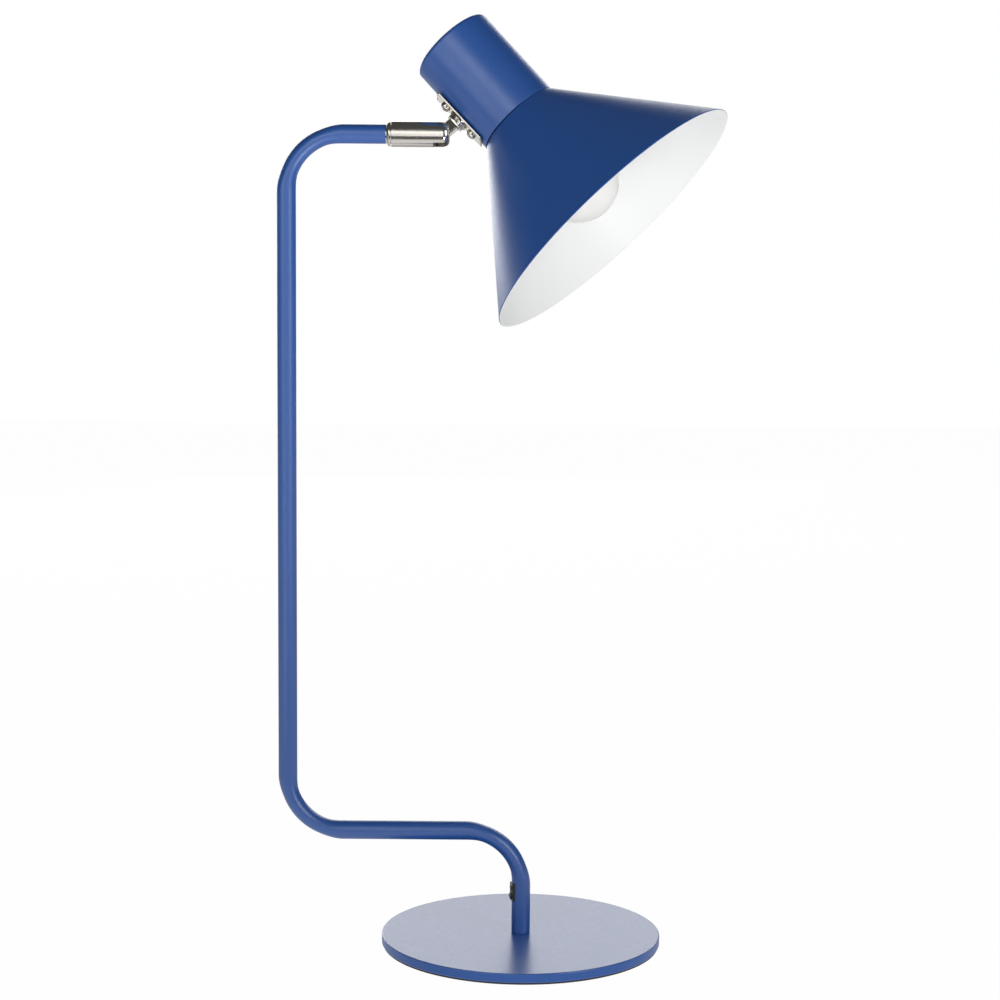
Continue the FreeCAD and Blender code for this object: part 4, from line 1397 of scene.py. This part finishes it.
@dataclass
class Bulb(Assembly):
    """An opal globe on a threaded metal cap."""

    globe_radius: float = 26.5
    globe_centre: float = 78.6
    globe_rows: int = 48
    neck_radius: float = 12.5
    neck_angle: float = 2.1  # radians from the globe's front
    neck_tuck: float = 3.0
    neck_rows: int = 20
    screw_start: float = 12.65
    screw_length: float = 22.0
    screw_radius: float = 13.2
    screw_rows: int = 90
    tip_radius: float = 10.0
    lip_radius: float = 12.55
    lip_depth: float = 1.0
    thread_pitch: float = 3.6
    thread_depth: float = 0.6

    def globe(self) -> None:
        """Builds the glass: a globe that draws in to a neck.

        In front, the radius at a distance R cos t from the globe's centre is R sin t. From the angle where
        the neck begins, the radius follows a cubic in the distance, which leaves the circle along its
        tangent and meets the neck's radius level.
        """
        neck_end = self.screw_start + self.screw_length - self.neck_tuck
        turn = np.linspace(0.0, self.neck_angle, self.globe_rows)
        along = self.globe_centre + self.globe_radius * np.cos(turn)
        radius = self.globe_radius * np.sin(turn)
        share = np.linspace(0.0, 1.0, self.neck_rows)[1:]
        span = neck_end - along[-1]
        slope = -span / math.tan(self.neck_angle)
        cubic = (
            (2 * share ** 3 - 3 * share ** 2 + 1) * radius[-1]
            + (share ** 3 - 2 * share ** 2 + share) * slope
            + (3 * share ** 2 - 2 * share ** 3) * self.neck_radius
        )
        along = np.concatenate([along, along[-1] + span * share])
        grid = rings(along, np.concatenate([radius, cubic]), full_circle(PLAIN_RING))
        self.fit(Skin().grid(grid).cap(grid[-1]), "opal_globe", "bulb_globe")

    def screw_cap(self) -> None:
        """Builds the threaded cap: its radius falls and rises with the cosine of a phase.

        The phase is the turn less a full turn for each pitch along, and the thread fades out at both ends.
        """
        start = self.screw_start + self.screw_radius - self.tip_radius
        end = self.screw_start + self.screw_length
        along = np.linspace(start, end, self.screw_rows)
        turn = full_circle(PLAIN_RING)
        fade = smooth((along - start) / self.thread_pitch) * smooth((end - along) / self.thread_pitch)
        phase = turn[None, :] - FULL_TURN * along[:, None] / self.thread_pitch
        dip = self.thread_depth * fade[:, None] * (0.5 - 0.5 * np.cos(phase))
        tip = rings(np.full(2, self.screw_start), np.array([0.0, self.tip_radius]), turn)
        wall = rings(along, self.screw_radius - dip, turn)
        lip = rings(np.array([end, end - self.lip_depth]), np.full(2, self.lip_radius), turn)
        skin = Skin().grid(np.concatenate([tip, wall, lip])).cap(lip[-1])
        self.fit(skin, "threaded_cap", "bulb_screw_cap")

    def build(self) -> None:
        """Builds the glass and its threaded cap."""
        self.globe()
        self.screw_cap()


@dataclass(frozen=True)
class SoftBox:
    """One upright soft box of the studio, which faces the lamp's axis.

    Attributes:
        name: The light's name.
        azimuth: Where it stands, in degrees round the lamp from the camera's side towards +X.
        distance: How far it stands from the lamp's axis, in metres.
        low: The height of its lower edge, in metres.
        high: The height of its upper edge, in metres.
        width: Its width in metres.
        brightness: How bright it looks, where 1 is white.
    """

    name: str
    azimuth: float
    distance: float
    low: float
    high: float
    width: float
    brightness: float

    def build(self) -> None:
        """Makes the box: its power is pi times its area times its brightness."""
        data = bpy.data.lights.new(self.name, "AREA")
        data.shape = "RECTANGLE"
        data.size = self.width
        data.size_y = self.high - self.low
        data.energy = math.pi * data.size * data.size_y * self.brightness
        holder = bpy.data.objects.new(self.name, data)
        holder.visible_camera = False
        bpy.context.scene.collection.objects.link(holder)
        turn = math.radians(self.azimuth)
        spot = (self.distance * math.sin(turn), -self.distance * math.cos(turn), (self.low + self.high) / 2)
        upright = Matrix.Rotation(math.radians(90.0), 4, "X")
        holder.matrix_world = Matrix.Translation(spot) @ Matrix.Rotation(turn, 4, "Z") @ upright


@dataclass
class Studio:
    """The floor, the surroundings, the lamps and the camera.

    The floor has three zones of gloss from front to back, and the room has three from below upwards. Each
    fade is the pair of values between which one zone passes into the next: on the floor, distances behind
    the lamp's axis in metres, and in the room, the upward part of the direction. A strength of 1 is white.
    The camera's and the boxes' places are in metres.
    """

    camera_spot: tuple[float, float, float] = (-0.0155, -1.770, 0.5385)
    camera_down: float = 7.98
    camera_roll: float = 0.44
    camera_far: float = 50.0
    focal_pixels: float = 2811.0
    picture_pixels: float = 1000.0
    sensor: float = 36.0
    floor_reach: float = 3.0
    floor_front: float = 0.5
    floor_share: float = 0.985
    spread_share: float = 0.5
    paper: tuple[float, float, float, float] = (0.85, 0.85, 0.85, 1.0)
    white: tuple[float, float, float, float] = (1.0, 1.0, 1.0, 1.0)
    table_gloss: float = 0.85
    middle_gloss: float = 0.45
    far_gloss: float = 0.8
    table_fade: tuple[float, float] = (0.1, 0.35)
    far_fade: tuple[float, float] = (0.7, 1.4)
    table_light: float = 1.3
    under: float = 0.03
    horizon: float = 0.05
    sky: float = 0.075
    under_fade: tuple[float, float] = (-0.05, 0.0)
    sky_fade: tuple[float, float] = (0.0, 0.5)
    boxes: list[SoftBox] = field(default_factory=lambda: [
        SoftBox("middle_front", 0.0, 2.2, -0.08, 1.7, 0.44, 1.5),
        SoftBox("left_front", -21.0, 2.2, 0.9, 2.3, 1.1, 2.45),
        SoftBox("left_side", -48.0, 2.2, 0.2, 0.9, 1.1, 2.1),
        SoftBox("left_low", -30.0, 2.2, -1.2, -0.3, 1.15, 4.7),
        SoftBox("right_front", 47.0, 2.2, 0.3, 1.9, 1.0, 4.6),
        SoftBox("right_low", 32.0, 2.2, -1.4, -0.5, 1.3, 8.0),
        SoftBox("rear_sheet", 180.0, 2.3, 0.65, 1.6, 1.0, 2.4),
        SoftBox("rear_step", 180.0, 2.3, 0.0, 0.65, 1.0, 1.7),
        SoftBox("rear_left", 203.0, 2.3, 0.3, 1.0, 1.0, 4.5),
        SoftBox("rear_right", 156.0, 2.3, 0.7, 1.6, 1.0, 2.9),
    ])

    def camera(self) -> None:
        """Places the camera where the photo was taken: level turn about X, then a small roll."""
        data = bpy.data.cameras.new("camera")
        data.sensor_width = self.sensor
        data.lens = self.focal_pixels / self.picture_pixels * self.sensor
        data.clip_end = self.camera_far
        holder = bpy.data.objects.new("camera", data)
        bpy.context.scene.collection.objects.link(holder)
        tilt = Matrix.Rotation(math.radians(90.0 - self.camera_down), 4, "X")
        roll = Matrix.Rotation(math.radians(self.camera_roll), 4, "Z")
        holder.matrix_world = Matrix.Translation(self.camera_spot) @ tilt @ roll
        bpy.context.scene.camera = holder

    def floor(self) -> None:
        """Lays a pale floor, which looks white to the eye and in gloss and still takes the shadow.

        To the camera it is a glow with a little of the paper that takes the shadow. In reflections it is a
        glow whose strength changes from zone to zone, and half of the light that it throws is glow too.
        """
        reach = self.floor_reach
        front = -self.floor_front
        mesh = bpy.data.meshes.new("floor")
        corners = [(-reach, front, 0), (reach, front, 0), (reach, reach, 0), (-reach, reach, 0)]
        mesh.from_pydata(corners, [], [(0, 1, 2, 3)])
        floor = bpy.data.objects.new("floor", mesh)
        bpy.context.scene.collection.objects.link(floor)
        material = bpy.data.materials.new("floor_paper")
        material.use_nodes = True
        material.node_tree.nodes.clear()
        bench = Bench(material.node_tree)
        path = bench.node("ShaderNodeLightPath", {}).outputs
        spot = bench.node("ShaderNodeTexCoord", {}).outputs["Object"]
        along = bench.node("ShaderNodeSeparateXYZ", {"Vector": spot}).outputs["Y"]
        near = bench.choice(bench.step(along, *self.table_fade), self.table_gloss, self.middle_gloss)
        gloss = bench.choice(bench.step(along, *self.far_fade), near, self.far_gloss)
        lit = bench.choice(path["Is Diffuse Ray"], gloss, self.table_light)
        strength = bench.choice(path["Is Camera Ray"], lit, 1.0)
        glow = bench.node("ShaderNodeEmission", {"Strength": strength})
        paper = bench.node("ShaderNodeBsdfDiffuse", {"Color": self.paper})
        seen = bench.number("MULTIPLY", path["Is Camera Ray"], self.floor_share)
        spread = bench.number("MULTIPLY", path["Is Diffuse Ray"], self.spread_share)
        share = bench.number("MAXIMUM", bench.number("MAXIMUM", seen, spread), path["Is Glossy Ray"])
        mix = bench.node("ShaderNodeMixShader", {0: share, 1: paper.outputs[0], 2: glow.outputs[0]})
        bench.node("ShaderNodeOutputMaterial", {"Surface": mix.outputs[0]})
        mesh.materials.append(material)

    def surroundings(self) -> None:
        """White for the camera, and for light a dim room that is a little brighter overhead."""
        world = bpy.data.worlds.new("studio")
        bpy.context.scene.world = world
        world.use_nodes = True
        world.node_tree.nodes.clear()
        bench = Bench(world.node_tree)
        way = bench.node("ShaderNodeTexCoord", {}).outputs["Generated"]
        height = bench.node("ShaderNodeSeparateXYZ", {"Vector": way}).outputs["Z"]
        above = bench.choice(bench.step(height, *self.sky_fade), self.horizon, self.sky)
        room = bench.choice(bench.step(height, *self.under_fade), self.under, above)
        path = bench.node("ShaderNodeLightPath", {}).outputs
        strength = bench.choice(path["Is Camera Ray"], room, 1.0)
        back = bench.node("ShaderNodeBackground", {"Color": self.white, "Strength": strength})
        bench.node("ShaderNodeOutputWorld", {"Surface": back.outputs[0]})

    def build(self) -> None:
        """Builds the whole studio."""
        bpy.context.scene.view_settings.view_transform = "Standard"
        self.camera()
        self.floor()
        self.surroundings()
        for box in self.boxes:
            box.build()


def main() -> None:
    """Dresses the frame, builds every sub-assembly and lights it."""
    logging.basicConfig(level=logging.INFO, format="%(name)s: %(message)s")
    shop = Workshop()
    shop.dress_frame()
    hinge = joint_place()
    stud = hinge.turned("Y", 90.0 - STEM_RISE)
    head = stud.moved(z=STUD_TO_AXIS)
    assemblies = [
        Base(shop),
        Tube(shop),
        CordInlet(shop),
        Switch(shop),
        Knuckle(shop, hinge),
        Stud(shop, stud),
        Bracket(shop, stud),
        Shade(shop, head),
        HolderRing(shop, head),
        Bulb(shop, head),
    ]
    for assembly in assemblies:
        assembly.build()
    Studio().build()


if __name__ == "__main__":
    main()
